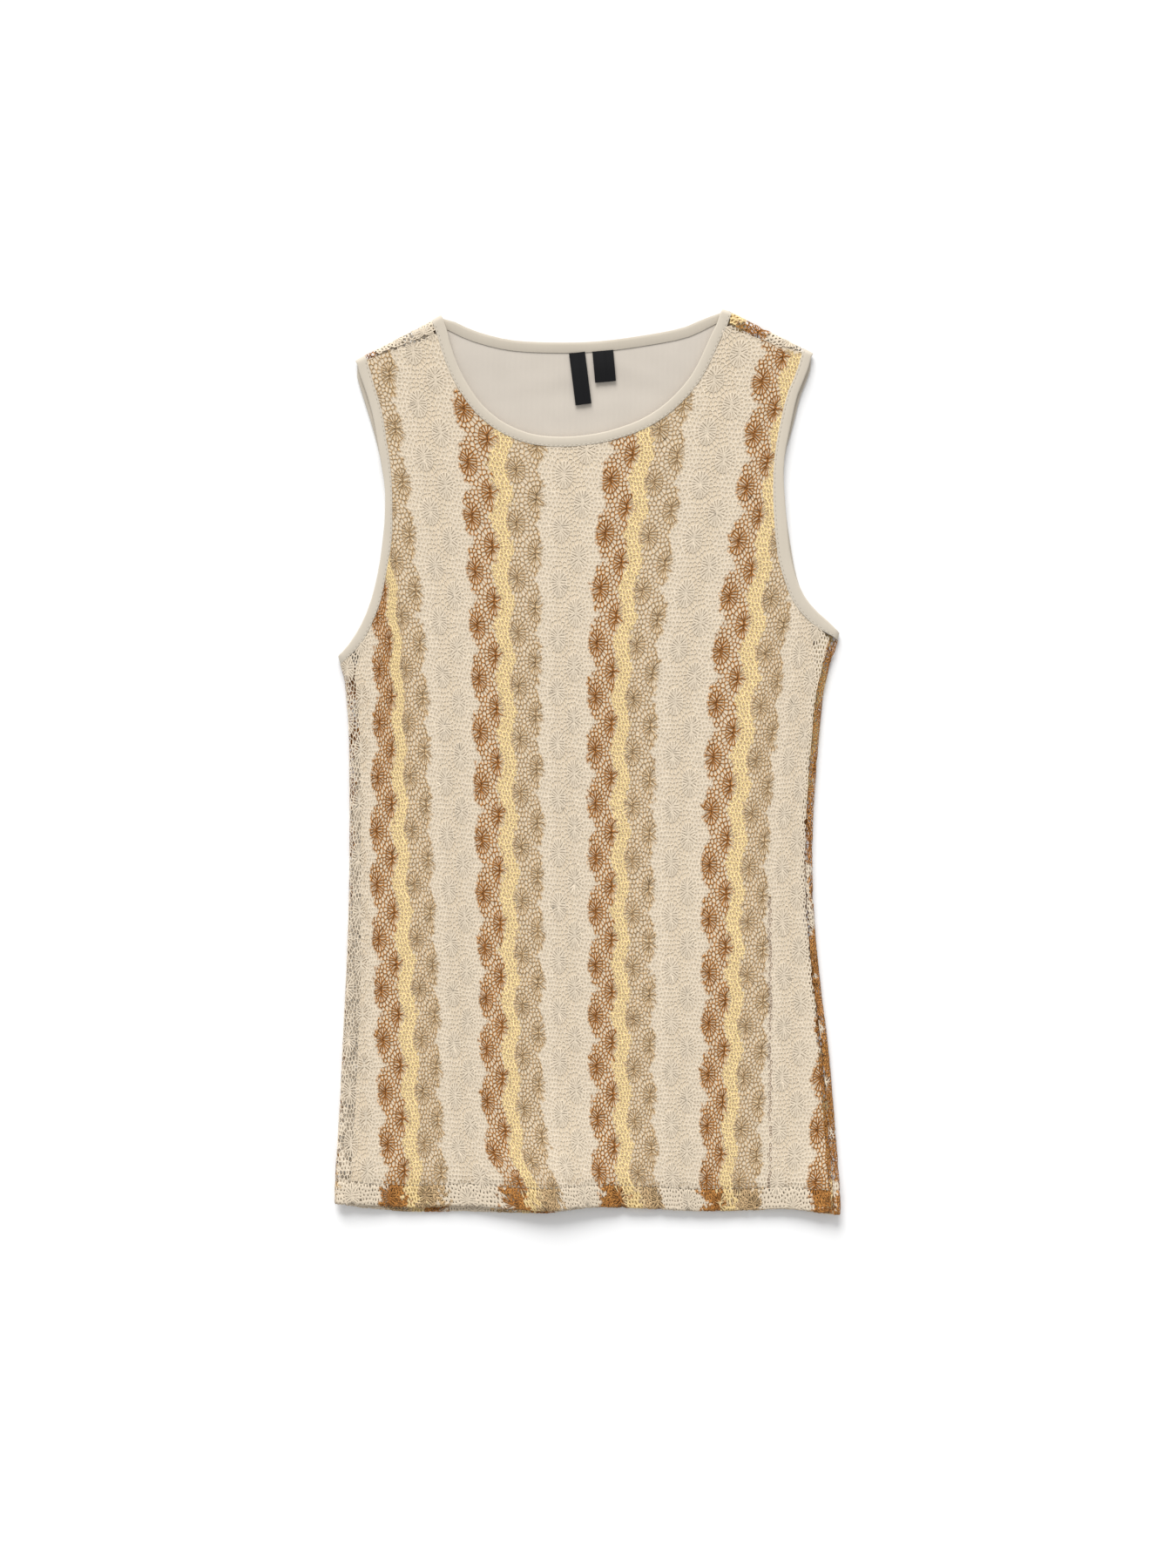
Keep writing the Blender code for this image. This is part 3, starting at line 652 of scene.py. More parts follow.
def add_shape(name, shape, material, node, smooth=True):
    """The same for a bmesh in millimetres, which is used up."""
    bmesh.ops.scale(shape, verts=shape.verts[:], vec=(MM, MM, MM))
    mesh = bpy.data.meshes.new(name)
    shape.to_mesh(mesh)
    shape.free()
    if smooth:
        mesh.shade_smooth()
    return add_object(name, mesh, material, node)


# %% Lay copies of the repeat and cut them to the panel
# copies across and along, more than enough to cover a panel
TILES = np.array([(i, j) for i in range(-4, 16) for j in range(-3, 18)])
WOBBLE = 0.11  # how far a crossing wanders
# these make one whole number, never negative, of how many repeats across and along
SHIFT, SPAN = 10, 64
SIZES = np.array([len(hole) for hole in HOLES])
FIRSTS = np.concatenate([[0], np.cumsum(SIZES)[:-1]])


def lay_copies(front, rng):
    """Every crossing once, on the pattern and in repeats, and the crossings of each hole."""
    loop_corner = np.array([corner for hole in HOLES for corner, _, _ in hole])
    loop_turns = np.array([turns for hole in HOLES for _, *turns in hole])
    turns = TILES[:, None, :] + loop_turns[None] + SHIFT
    key = (turns[..., 0] * SPAN + turns[..., 1]) * len(CORNERS) + loop_corner[None]
    keys, crossing = np.unique(key, return_inverse=True)
    copy = keys // len(CORNERS)
    lace = CORNERS[keys % len(CORNERS)] / REPEAT
    lace += np.column_stack([copy // SPAN, copy % SPAN]) - SHIFT
    flat = np.column_stack(lace_place(lace[:, 0], lace[:, 1], front))
    flat += rng.normal(0, WOBBLE, flat.shape)
    return flat, lace, crossing.reshape(key.shape)


def cut_to_panel(flat, lace, crossing, front):
    """Keep the holes whose middle is in the panel, and pull their rim to its outline."""
    outline = lace_outline(front)
    middle = np.add.reduceat(flat[crossing], FIRSTS, axis=1) / SIZES[None, :, None]
    kept = inside(middle.reshape(-1, 2), outline).reshape(middle.shape[:2])
    loops = np.repeat(kept, SIZES, axis=1)
    used, crown = np.unique(crossing[loops], return_inverse=True)
    flat, lace = flat[used], lace[used]
    outer = ~inside(flat, outline)
    flat[outer] = snapped(flat[outer], outline)
    hops = np.ones(len(loops[0]), int)  # to the next crossing of the same hole
    hops[FIRSTS + SIZES - 1] = 1 - SIZES
    following = np.arange(len(crown)) + np.broadcast_to(hops, loops.shape)[loops]
    return flat, lace, crown, following, kept


# %% Choose how wide the threads are
# half the width of a thread: in the cream, in the colours, in the close band, in the hem
THREAD = {"cream": 0.6, "colour": 0.38, "band": 1.1, "hem": 1.5}
# how much more in the fan of a star, and the share of that in the cream
FAN_THREAD, CREAM_FAN = 0.6, 0.2
FAN = np.array([4.4, 11.0])  # how far the close threads of a star reach, across and along
FAN_DROP = 1.5
UNEVEN, HEM_UNEVEN = 0.07, 2.5  # spread of the widths, and how much larger it is in the hem
# where the cloth is stretched round the left side: half a thread, and how many holes open
OPENED, OPENED_SHARE = 0.3, 0.55
# the width of that strip, its wave and length of wave, how much wider it is below which
# height, and where it ends
STRETCH_WIDE, STRETCH_WAVE, STRETCH_LOW, STRETCH_TOP = 13, (3, 23), (6, -150), 60
# a run of dropped stitches on the right: its x, its top and half its width; half a thread
LADDER, LADDER_THREAD = (125.5, -93, 1.1), 0.95


def stretched(points, front):
    """Where the cloth is pulled open as it goes round the left side."""
    x, y = points.T
    (high, long), (wider, below) = STRETCH_WAVE, STRETCH_LOW
    reach = STRETCH_WIDE + high * np.sin(y / long) + wider * (y < below)
    return front & (x < fold_x(-1, y) + reach) & (y < STRETCH_TOP)


def to_star(points, stars):
    """1 at a star, fading outwards over its fan of threads."""
    away = (points - stars + (0, FAN_DROP)) / FAN
    return np.exp(-(away**2).sum(axis=1))


def thread_halves(middle, lace, star, front, rng):
    """Half the thread round each hole, and which holes are dyed, stretched or dropped."""
    coloured = yarn_weights(*lace.T).any(axis=1)
    half = np.where(coloured, THREAD["colour"], THREAD["cream"])
    half[in_band(*lace.T)] = THREAD["band"]
    half += FAN_THREAD * to_star(middle, star) * np.where(coloured, 1, CREAM_FAN)
    in_hem = middle[:, 1] < hem_y(middle[:, 0], front) + HEM_DEPTH
    half[in_hem] = np.maximum(half[in_hem], THREAD["hem"])
    half *= 1 + rng.normal(0, UNEVEN, len(half)) * np.where(in_hem, HEM_UNEVEN, 1)
    open_side = stretched(middle, front) & ~in_hem
    half[open_side & (rng.random(len(half)) < OPENED_SHARE)] = OPENED
    at, top, wide = LADDER
    ladder = front & (np.abs(middle[:, 0] - at) < wide) & (middle[:, 1] < top) & ~in_hem
    half[ladder] = LADDER_THREAD
    return half, coloured, open_side, ladder


# %% [markdown]
# Three kinds of hole are drawn in from their threads. In the ground a hole is the cell
# made smaller. Between spokes it is a narrow gap along the cell's own length. In the
# close band it is a slanted slit.

# %% Cut the holes
HOLE_SHARE = 0.3, 0.85  # the least and the most of a cell that is open
# a gap between spokes: its end near the star, its far end, and its width, as shares
SPOKE_IN, SPOKE_OUT, SPOKE_ACROSS = 0.55, 0.87, {"cream": 0.18, "colour": 0.45}
# size of a hole in the close band: across and along its slant
SLIT, SLIT_AXIS = (0.22, 0.55), np.array([-0.34, 0.94])


def long_axis(delta, begin):
    """The direction in which each hole is longest, from its corners."""
    xx, xy, yy = (
        np.add.reduceat(delta[:, i] * delta[:, j], begin) for i, j in ((0, 0), (0, 1), (1, 1))
    )
    slant = np.arctan2(2 * xy, xx - yy) / 2
    return np.column_stack([np.cos(slant), np.sin(slant)])


def spoke_gap(middle, delta, length, star, wide):
    """Corners of gaps along `length`, nearer the far end than the star's end."""
    length = length * np.sign((length * (middle - star)).sum(axis=1))[:, None]
    outwards = (delta * length).sum(axis=1)[:, None]
    along = outwards * length
    gap = middle + (delta - along) * wide[:, None]
    return gap + along * np.where(outwards > 0, SPOKE_OUT, SPOKE_IN)


def band_slit(middle, delta):
    along = (delta * SLIT_AXIS).sum(axis=1)[:, None] * SLIT_AXIS
    return middle + along * SLIT[1] + (delta - along) * SLIT[0]


# %% Choose the yarn at every point
RAGGED_DYE = 0.1, 0.032  # how far a yarn strays from its stripe, in repeats: hem, cloth
# low down on the back the last stripe keeps to the right side: heights, and repeats moved
SIDE_STRIPE = (-306, -200, -100, -45), (2.24, 1.28, 0.27, 0)
SIDE_STRIPE_X, SIDE_STRIPE_DOWN = (110, 150), (90, 130)  # where that comes in
DYE_DEPTH = {"brown": 1.0, "yellow": 0.4, "taupe": 0.9}  # how much each dye shows its loops
HEM_MOTTLE = 0.6


def yarn_marks(points, lace, is_edge, near_star, painted_hole_shade, owner, front, rng):
    """What the yarn material reads at each point. `owner` is the crossing it is near."""
    crossings = owner.max() + 1
    below = points[:, 1] < hem_y(points[:, 0], front) + HEM_DEPTH
    stray = rng.normal(0, 1, crossings)[owner] * np.where(below, *RAGGED_DYE)
    across = lace[:, 0] + stray
    if not front:
        x, y = points.T
        moved = ease(x, *SIDE_STRIPE_X) * ease(-y, *SIDE_STRIPE_DOWN)
        across = lace[:, 0] + moved * np.interp(y, *SIDE_STRIPE) + stray
    weights = yarn_weights(across, lace[:, 1])
    # in the hem two layers lie over each other, so stars and hole edges are mixed up, and
    # the darker star colours this gives there are partly painted shade of the thick cloth;
    # clip keeps a value from being less than it is given
    doubled_with_shade, mottled = (below * rng.uniform(0, 1, crossings)[owner] for _ in range(2))
    return {
        # the rims of the ladder's holes get the dark close brown: painted shade in those holes
        "brown": np.maximum(weights[:, 0], painted_hole_shade),
        "yellow": weights[:, 1],
        "taupe": weights[:, 2],
        "star": near_star.clip(doubled_with_shade).clip(painted_hole_shade),
        "dyed": weights @ tuple(DYE_DEPTH.values()),
        "hole_edge": np.abs(is_edge - HEM_MOTTLE * mottled - painted_hole_shade),
    }


# %% Put the net together
HOLE_DEPTH = 0.42  # from the top of a thread down to the edge of its hole
CREAM_SPOKE_DEPTH = 0.2
THREAD_SLOPE = 0.6  # and never steeper than this
THREAD_TOP = 0.05  # the crown of a thread is this far below the face, at the least
UNEVEN_TOP = 0.1
KNOT_RISE = 0.12
STITCHED_IN, STITCHED_HALF = 0.5, 1.3  # depth and half width of the hem's stitching line
DYED_FROM_HOLE = 0.55  # a hole's edge takes this much of its colour from the hole's middle


def hem_pinch(x, y, front):
    """The stitching line of the hem lies a little deeper than the cloth."""
    line = hem_y(x, front) + HEM_DEPTH
    return STITCHED_IN * np.exp(-(((y - line) / STITCHED_HALF) ** 2))


def lace_net(front, seed):
    """One panel of net: its points and faces, and what yarn is at each point."""
    rng = np.random.default_rng(seed)
    flat, lace, crossing = lay_copies(front, rng)
    flat, lace, crown, following, kept = cut_to_panel(flat, lace, crossing, front)
    count = np.broadcast_to(SIZES, kept.shape)[kept]
    begin = np.concatenate([[0], np.cumsum(count)[:-1]])

    def by_hole(values):
        return np.repeat(values, count, axis=0)

    # one row for each hole
    corner, corner_lace = flat[crown], lace[crown]
    middle = np.add.reduceat(corner, begin) / count[:, None]
    hole_lace = np.add.reduceat(corner_lace, begin) / count[:, None]
    star = (TILES[:, None, :] + (HOLE_STARS / REPEAT)[None])[kept]
    star = np.column_stack(lace_place(star[:, 0], star[:, 1], front))
    is_spoke = np.broadcast_to(np.arange(len(SIZES)) < SPOKE_CELLS, kept.shape)[kept]
    half, coloured, open_side, ladder = thread_halves(middle, hole_lace, star, front, rng)
    banded = in_band(*hole_lace.T) & coloured & ~is_spoke

    # one row for each corner of each hole
    centre, star = by_hole(middle), by_hole(star)
    delta = corner - centre
    reach = np.maximum.reduceat(np.abs(delta), begin)
    share = np.clip(1 - half[:, None] / np.maximum(reach, 0.1), *HOLE_SHARE)
    wide = np.where(coloured | open_side, SPOKE_ACROSS["colour"], SPOKE_ACROSS["cream"])
    gap = spoke_gap(centre, delta, by_hole(long_axis(delta, begin)), star, by_hole(wide))
    edge = centre + delta * by_hole(share)
    edge = np.where(by_hole(is_spoke)[:, None], gap, edge)
    edge = np.where(by_hole(banded)[:, None], band_slit(centre, delta), edge)

    crown_heart = np.zeros(len(flat))
    np.maximum.at(crown_heart, crown, to_star(corner, star))
    points = np.vstack([flat, edge])
    high = THREAD_TOP - KNOT_RISE * crown_heart + rng.uniform(0, UNEVEN_TOP, len(flat))
    down = np.minimum(THREAD_SLOPE * np.linalg.norm(corner - edge, axis=1), HOLE_DEPTH)
    down[by_hole(is_spoke & ~coloured)] = CREAM_SPOKE_DEPTH
    depth = np.concatenate([high, high[crown] + down])
    depth += hem_pinch(points[:, 0], points[:, 1], front)
    edge_lace = corner_lace * (1 - DYED_FROM_HOLE) + by_hole(hole_lace) * DYED_FROM_HOLE
    marks = yarn_marks(
        points,
        np.vstack([lace, edge_lace]),
        np.repeat([0.0, 1.0], [len(flat), len(edge)]),
        np.concatenate([crown_heart, to_star(edge, star)]),
        # painted shade: the rims of the dropped stitches' holes are coloured dark brown
        np.concatenate([np.zeros(len(flat)), by_hole(ladder)]),  # dropped stitches look dark
        np.concatenate([np.arange(len(flat)), crown]),
        front,
        rng,
    )
    rim = len(flat) + np.arange(len(crown))
    quads = np.column_stack([crown, crown[following], rim[following], rim])
    whole = crown != crown[following]
    return {
        "points": lay(points[:, 0], points[:, 1], depth, front),
        "quads": quads[whole],
        "across": centre[whole, 0],
        "marks": marks,
    }


def lace_piece(name, net, chosen, node):
    """One half of a panel, with what yarn is where as attributes of its points."""
    points, quads = net["points"], net["quads"][chosen]
    used, index = np.unique(quads, return_inverse=True)
    mesh = mesh_of(name, points[used], index.reshape(quads.shape).tolist())
    for label, values in net["marks"].items():
        layer = mesh.attributes.new(label, "FLOAT", "POINT")
        layer.data.foreach_set("value", values[used].astype(np.float32))
    print(name, "has", 2 * len(quads), "triangles")
    return add_object(name, mesh, lace_yarn, node)


# %% [markdown]
# ## Yarns and cloth
# A material here is what the real one is made of. The lace is soft, slightly fuzzy
# viscose and cotton yarn: no shine, a little sheen at grazing angles, and a colour that
# wanders from thread to thread.

# %% Colour and node helpers
DULL = 0.2  # fibres reflect less than a smooth plastic face, which has 0.5
FUZZ_SPREAD = 0.5


def linear(hex_colour):
    """An sRGB hex colour as Blender's linear RGBA."""
    parts = [int(hex_colour[i : i + 2], 16) / 255 for i in (1, 3, 5)]
    return (*(p / 12.92 if p <= 0.04045 else ((p + 0.055) / 1.055) ** 2.4 for p in parts), 1)


def add_node(tree, kind, settings=(), inputs=(), links=()):
    """A node with its settings, its input values, and its links from other sockets."""
    node = tree.nodes.new(kind)
    for key, value in dict(settings).items():
        setattr(node, key, value)
    for key, value in dict(inputs).items():
        node.inputs[key].default_value = value
    for key, socket in dict(links).items():
        tree.links.new(socket, node.inputs[key])
    return node


def new_material(name, roughness, sheen):
    material = bpy.data.materials.new(name)
    material.use_nodes = True
    shader = material.node_tree.nodes["Principled BSDF"]
    shader.inputs["Roughness"].default_value = roughness
    shader.inputs["Specular IOR Level"].default_value = DULL
    shader.inputs["Sheen Weight"].default_value = sheen
    shader.inputs["Sheen Roughness"].default_value = FUZZ_SPREAD
    return material, material.node_tree, shader


# kinds of node that come more than once, with their settings
MIX = "ShaderNodeMix", {"data_type": "RGBA"}
TINT = "ShaderNodeMix", {"data_type": "RGBA", "blend_type": "MULTIPLY"}
RANGE = "ShaderNodeMapRange", ()
NOISE = "ShaderNodeTexNoise", ()

# %% The four yarns of the lace
# Each yarn on top of a thread and at the edge of a hole, then the same two packed close at a
# star.
# The edge holds painted light and shade: darker in the cream and yellow, painted shade falling
# into the holes; lighter in the brown and taupe, painted light on the fuzz, with the lining
# showing through it. The close colours are darker partly for the packed yarn and partly as
# painted shade among it.
YARNS = {
    "cream": ("#E8D9C3", "#CDBDA5", "#DBCCB6", "#D3C4AD"),
    "brown": ("#6A3E18", "#EDAB5C", "#56300F", "#D79148"),
    "yellow": ("#FFE9B0", "#BC9052", "#FCE4AA", "#C4A064"),
    "taupe": ("#90704D", "#EFCF9F", "#6E5238", "#F2D09C"),
}


def yarn_material():
    material, tree, shader = new_material("viscose_lace_yarn", 0.85, 0.15)
    marks = {
        name: add_node(tree, "ShaderNodeAttribute", {"attribute_name": name}).outputs["Fac"]
        for name in ("hole_edge", "star", "dyed", "brown", "yellow", "taupe")
    }
    star, colour = marks["star"], None
    for name, shades in YARNS.items():
        top, at_hole, close, close_at_hole = (linear(shade) for shade in shades)
        crown = add_node(tree, *MIX, {6: top, 7: close}, {0: star}).outputs[2]
        rim = add_node(tree, *MIX, {6: at_hole, 7: close_at_hole}, {0: star}).outputs[2]
        yarn = add_node(tree, *MIX, (), {0: marks["hole_edge"], 6: crown, 7: rim}).outputs[2]
        if colour is not None:
            yarn = add_node(tree, *MIX, (), {0: marks[name], 6: colour, 7: yarn}).outputs[2]
        colour = yarn
    place = add_node(tree, "ShaderNodeTexCoord").outputs["Object"]
    # yarn thickness and dye wander over about 3 mm
    wander = add_node(tree, *NOISE, {"Scale": 330.0, "Detail": 3.0}, {"Vector": place})
    tone = add_node(
        tree, *RANGE, {"To Min": 0.88, "To Max": 1.1}, {"Value": wander.outputs["Fac"]}
    )
    # a thread is a chain of small loops, 1 mm long, dark where one goes into the next
    loops = add_node(tree, "ShaderNodeTexVoronoi", (), {"Scale": 1000.0}, {"Vector": place})
    loop_range = {"From Min": 0.2, "From Max": 0.65, "To Min": 0.3, "To Max": 1.12}
    loop_tone = add_node(tree, *RANGE, loop_range, {"Value": loops.outputs["Distance"]})
    # which shows less in the undyed yarn
    shown = add_node(tree, *RANGE, {"To Min": 0.3}, {"Value": marks["dyed"]})
    shown_tone = {0: shown.outputs["Result"], 3: loop_tone.outputs["Result"]}
    loops_shown = add_node(tree, "ShaderNodeMix", (), {2: 1.0}, shown_tone).outputs[0]
    both = {0: tone.outputs["Result"], 1: loops_shown}
    both = add_node(tree, "ShaderNodeMath", {"operation": "MULTIPLY"}, (), both).outputs[0]
    varied = add_node(tree, *TINT, {0: 1.0}, {6: colour, 7: both})
    tree.links.new(varied.outputs[2], shader.inputs["Base Color"])
    # the plies of the yarn, 0.2 mm thick on the real one, are drawn 0.4 mm apart to show
    plies = add_node(tree, *NOISE, {"Scale": 2500.0, "Detail": 2.0}, {"Vector": place})
    relief = {"Strength": 0.5, "Distance": 0.0003}
    bump = add_node(tree, "ShaderNodeBump", (), relief, {"Height": plies.outputs["Fac"]})
    tree.links.new(bump.outputs["Normal"], shader.inputs["Normal"])
    return material


lace_yarn = yarn_material()

# %% Lay the lace on both sides
for face, seed in (("front", 11), ("back", 12)):
    net = lace_net(face == "front", seed)
    middle = np.median(net["across"])
    for half, chosen in (("left", net["across"] < middle), ("right", net["across"] >= middle)):
        lace_piece(f"{face}_lace_{half}", net, chosen, face + "_lace")


# %% [markdown]
# ## Linings
# Behind the lace hangs a plain jersey lining, cut narrower and shorter. It shows
# through every hole and inside the neck, so it is a thin sheet with a fine knit face
# and a few soft creases. The jersey is knitted fine from polyester and is matt, with
# only a faint sheen where it turns away.

# %% Plain jersey
WALES = 3.77  # real columns of stitches are 0.6 mm apart, too fine to show
LOW_CLOTH = 0.0021, 0.0034  # metres: a band is all in shade below, and in the light above


def jersey_material(name, hex_colour, shade=1.0):
    """Jersey of one colour, toned by `shade` where it lies low, under the front."""
    material, tree, shader = new_material(name, 0.8, 0.2)
    place = add_node(tree, "ShaderNodeTexCoord").outputs["Object"]
    # the tone wanders over about 17 mm
    wander = add_node(tree, *NOISE, {"Scale": 60.0, "Detail": 4.0}, {"Vector": place})
    tone = add_node(
        tree, *RANGE, {"To Min": 0.94, "To Max": 1.03}, {"Value": wander.outputs["Fac"]}
    ).outputs["Result"]
    varied = add_node(tree, *TINT, {0: 1.0, 6: linear(hex_colour)}, {7: tone}).outputs[2]
    height = add_node(tree, "ShaderNodeSeparateXYZ", (), (), {"Vector": place}).outputs["Z"]
    low, high = LOW_CLOTH
    low_to_high = {"From Min": low, "From Max": high, "To Min": shade}
    covered = add_node(tree, *RANGE, low_to_high, {"Value": height}).outputs["Result"]
    varied = add_node(tree, *TINT, {0: 1.0}, {6: varied, 7: covered})
    tree.links.new(varied.outputs[2], shader.inputs["Base Color"])
    # faint upright ridges; this texture repeats ten times in pi metres at a scale of 1
    ridges = {"Scale": math.pi / 10 / (WALES * MM), "Distortion": 1.5, "Detail": 2.0}
    upright = {"bands_direction": "X"}
    wales = add_node(tree, "ShaderNodeTexWave", upright, ridges, {"Vector": place})
    relief = {"Strength": 0.25, "Distance": 0.0002}
    bump = add_node(tree, "ShaderNodeBump", (), relief, {"Height": wales.outputs["Fac"]})
    tree.links.new(bump.outputs["Normal"], shader.inputs["Normal"])
    return material


# the front lining lies against the lace and is painted lighter and warmer than the back one:
# painted light thrown onto it by the lace, lifting the shade in the holes
front_jersey_lit = jersey_material("front_lining_jersey_lit", "#DFCEB4")
back_jersey = jersey_material("back_lining_jersey", "#CAC1B5")
# the under half of a band is toned down, as the light hardly reaches it in the photo
band_jersey = jersey_material("band_jersey", "#CAC0B0", shade=0.86)

# %% Lay the linings
LINING_STEP = 6.0
# the back lining comes up to the seam of the neck band, between these heights on the top
NECK_RISE, NECK_RISE_FROM = 0.9, (250.0, 282.0)
# the front lining passes behind the stitching of the hem, this far up from the hem
LINING_DIP, LINING_DIP_UP = 0.5, (17.0, 21.0)
LINING_LOW = 16.4  # how far above the hem the linings end
LINING_CORNER = 166  # x of their lower corners
LINING_TUCK = 0.8
# height where their sides end, and how much further in the armhole edge starts
LINING_TOP, LINING_ARM = 60.0, 3
SLACK, SLACK_DOWN = 3.0, (-190, -60)
CREASES = [  # x, y, half length, half width, height, turn in degrees
    (-30.0, 262.0, 40.0, 5.0, 0.5, 12.0), (35.0, 268.0, 30.0, 4.0, 0.4, -20.0),
    (5.0, 245.0, 50.0, 6.0, 0.35, 4.0),
]


def slack(side, y):
    """How much further in the linings end at the lower left."""
    return SLACK * (side < 0) * (1 - ease(y, *SLACK_DOWN))


def lining_outline(front):
    left_arm, right_arm, neck = panel_edges(front, LINING_TUCK)
    sides = {}
    for side in (-1, 1):
        low = float(hem_y(side * LINING_CORNER, front)) + LINING_LOW
        sides[side] = [
            (float(fold_x(side, y)) - side * (LINING_INSET + slack(side, y)), y)
            for y in np.linspace(low, LINING_TOP, 20)
        ]
    left, right = sides[-1], sides[1]
    xs = np.linspace(left[0][0], right[0][0], 40)[1:-1]
    outline = [left[0]] + [(x, float(hem_y(x, front)) + LINING_LOW) for x in xs] + right
    outline += [p for p in right_arm[::-1] if p[0] < right[-1][0] - LINING_ARM]
    outline += neck[::-1][1:-1]
    outline += [p for p in left_arm if p[0] > left[-1][0] + LINING_ARM]
    return np.array(outline + left[:0:-1])


def filled(outline, step):
    """Points and triangles of a flat panel with an even lattice inside."""
    low, high = outline.min(axis=0), outline.max(axis=0)
    lattice = []
    for k, y in enumerate(np.arange(low[1], high[1], step * math.sqrt(3) / 2)):
        lattice += [(x + step / 2 * (k % 2), y) for x in np.arange(low[0], high[0], step)]
    lattice = np.array(lattice)
    lattice = lattice[inside(lattice, outline)]
    near = np.linalg.norm(snapped(lattice, outline) - lattice, axis=1)
    lattice = lattice[near > 0.45 * step]
    every = [tuple(p) for p in outline] + [tuple(p) for p in lattice]
    edges = [(i, (i + 1) % len(outline)) for i in range(len(outline))]
    verts, _, faces, *_ = delaunay_2d_cdt(every, edges, [], 1, 1e-4)
    return np.array(verts), [tuple(f) for f in faces]


def lining_piece(node, front, jersey):
    flat, faces = filled(lining_outline(front), LINING_STEP)
    x, y = flat.T
    z = lift(x, y)
    if front:
        near_hem = 1 - ease(y - hem_y(x, True), *LINING_DIP_UP)
        z = z + FRONT_LINING_TOP - LINING_DIP * near_hem + swell(x, y)
    else:
        faces = [face[::-1] for face in faces]
        z = z + BACK_LINING_LOW + NECK_RISE * ease(y, *NECK_RISE_FROM)
        for cx, cy, long, wide, high, turn in CREASES:
            c, s = math.cos(math.radians(turn)), math.sin(math.radians(turn))
            u, v = (x - cx) * c + (y - cy) * s, (y - cy) * c - (x - cx) * s
            z = z + high * np.exp(-((u / long) ** 2) - (v / wide) ** 2)
    name = node + "_sheet"
    mesh = mesh_of(name, np.column_stack([x, y, z]), faces)
    return add_object(name, mesh, jersey, node)


front_lining = lining_piece("front_lining", True, front_jersey_lit)
back_lining = lining_piece("back_lining", False, back_jersey)

# %% [markdown]
# ## Bands
# Each edge is bound with a strip of jersey folded in half over it. The strip is open
# on the seam side, so its section is a narrow letter U lying on its side.

# %% Sew the bands on
# share of the width from the seam, and height as a share of half the thickness
BAND_SECTION = [
    (0.0, -0.7), (0.3, -0.95), (0.7, -1.0), (0.94, -0.88), (0.99, -0.5), (1.0, 0.0),
    (0.99, 0.5), (0.95, 0.85), (0.85, 0.97), (0.55, 1.0), (0.28, 0.97), (0.19, 0.84),
    (0.12, 0.93), (0.03, 0.8), (0.0, 0.3),
]
GROOVE = 11  # the row of the section where the stitching pulls the strip in
OVER_FOLD = range(75, -76, -15)  # degrees, from the front over to the back


def band_rows(front, back, folds, counts, ways):
    """Stations round a band: seam x y, free x y, middle height, half thickness, outward."""
    rows = []
    middle = (BAND_FRONT_Z + BAND_BACK_Z) / 2
    half = (BAND_FRONT_Z - BAND_BACK_Z) / 2

    def over(fold, near_front, near_back, angles, way):
        for angle in angles:
            near = near_front if angle > 0 else near_back
            c, s = math.cos(math.radians(angle)), math.sin(math.radians(angle))
            here = near + (np.array(fold) - near) * c
            thin = BAND_HALF * (0.5 + 0.5 * abs(s) ** 3)  # the strip is pulled thin there
            rows.append((*here, middle + half * s, thin, way[0] * c, way[1] * c, s))

    for s in spaced(front, counts[0]):
        rows.append((*s, None, BAND_HALF, 0, 0, 1))
    over(folds[1], front[-1], back[-1], OVER_FOLD, ways[1])
    for s in spaced(back, counts[1])[::-1]:
        rows.append((*s, BAND_BACK_Z, BAND_HALF, 0, 0, -1))
    over(folds[0], front[0], back[0], OVER_FOLD[::-1], ways[0])
    return rows


def band_piece(name, rows):
    """A U section carried round the stations, and where the section is at each."""
    count, across = len(rows), len(BAND_SECTION)
    lines = np.zeros((count, across, 3))
    shape = bmesh.new()
    bmesh.ops.create_grid(shape, x_segments=count, y_segments=across - 1, size=0.5)
    shape.verts.ensure_lookup_table()
    order = sorted(shape.verts, key=lambda v: (round(v.co.x, 5), round(v.co.y, 5)))
    for i in range(count + 1):
        sx, sy, fx, fy, z, half, wx, wy, wz = rows[i % count]
        for k, (share, high) in enumerate(BAND_SECTION):
            x, y = sx + (fx - sx) * share, sy + (fy - sy) * share
            at = np.array([x]), np.array([y])
            middle = BAND_FRONT_Z + float(swell(*at)[0]) if z is None else z
            up = middle + float(lift(*at)[0])
            out = high * half
            lines[i % count, k] = x + wx * out, y + wy * out, up + wz * out
            order[i * across + k].co = lines[i % count, k]
    bmesh.ops.remove_doubles(shape, verts=shape.verts[:], dist=0.001)
    bmesh.ops.recalc_face_normals(shape, faces=shape.faces[:])
    return add_shape(name + "_strip", shape, band_jersey, name), lines


left_out, right_out = shoulder_frame(-1)[2], shoulder_frame(1)[2]
left_ways, right_ways = (left_out, (-1, 0)), (right_out, (1, 0))
NECK = (NECK_STATIONS, NECK_BACK_STATIONS, NECK_FOLDS, (130, 80), (left_out, right_out))
bands, band_lines = {}, {}
for name, stations in (
    ("neck_binding", NECK),
    ("left_armhole_binding", (*LEFT_STATIONS, LEFT_FOLDS, (90, 90), left_ways)),
    ("right_armhole_binding", (*RIGHT_STATIONS, RIGHT_FOLDS, (90, 90), right_ways)),
):
    bands[name], band_lines[name] = band_piece(name, band_rows(*stations))


# %% [markdown]
# ## Stitching
# The seams are closed with small stitches of matching spun polyester thread, matt and a
# shade darker than the jersey. Each is a short raised dash.

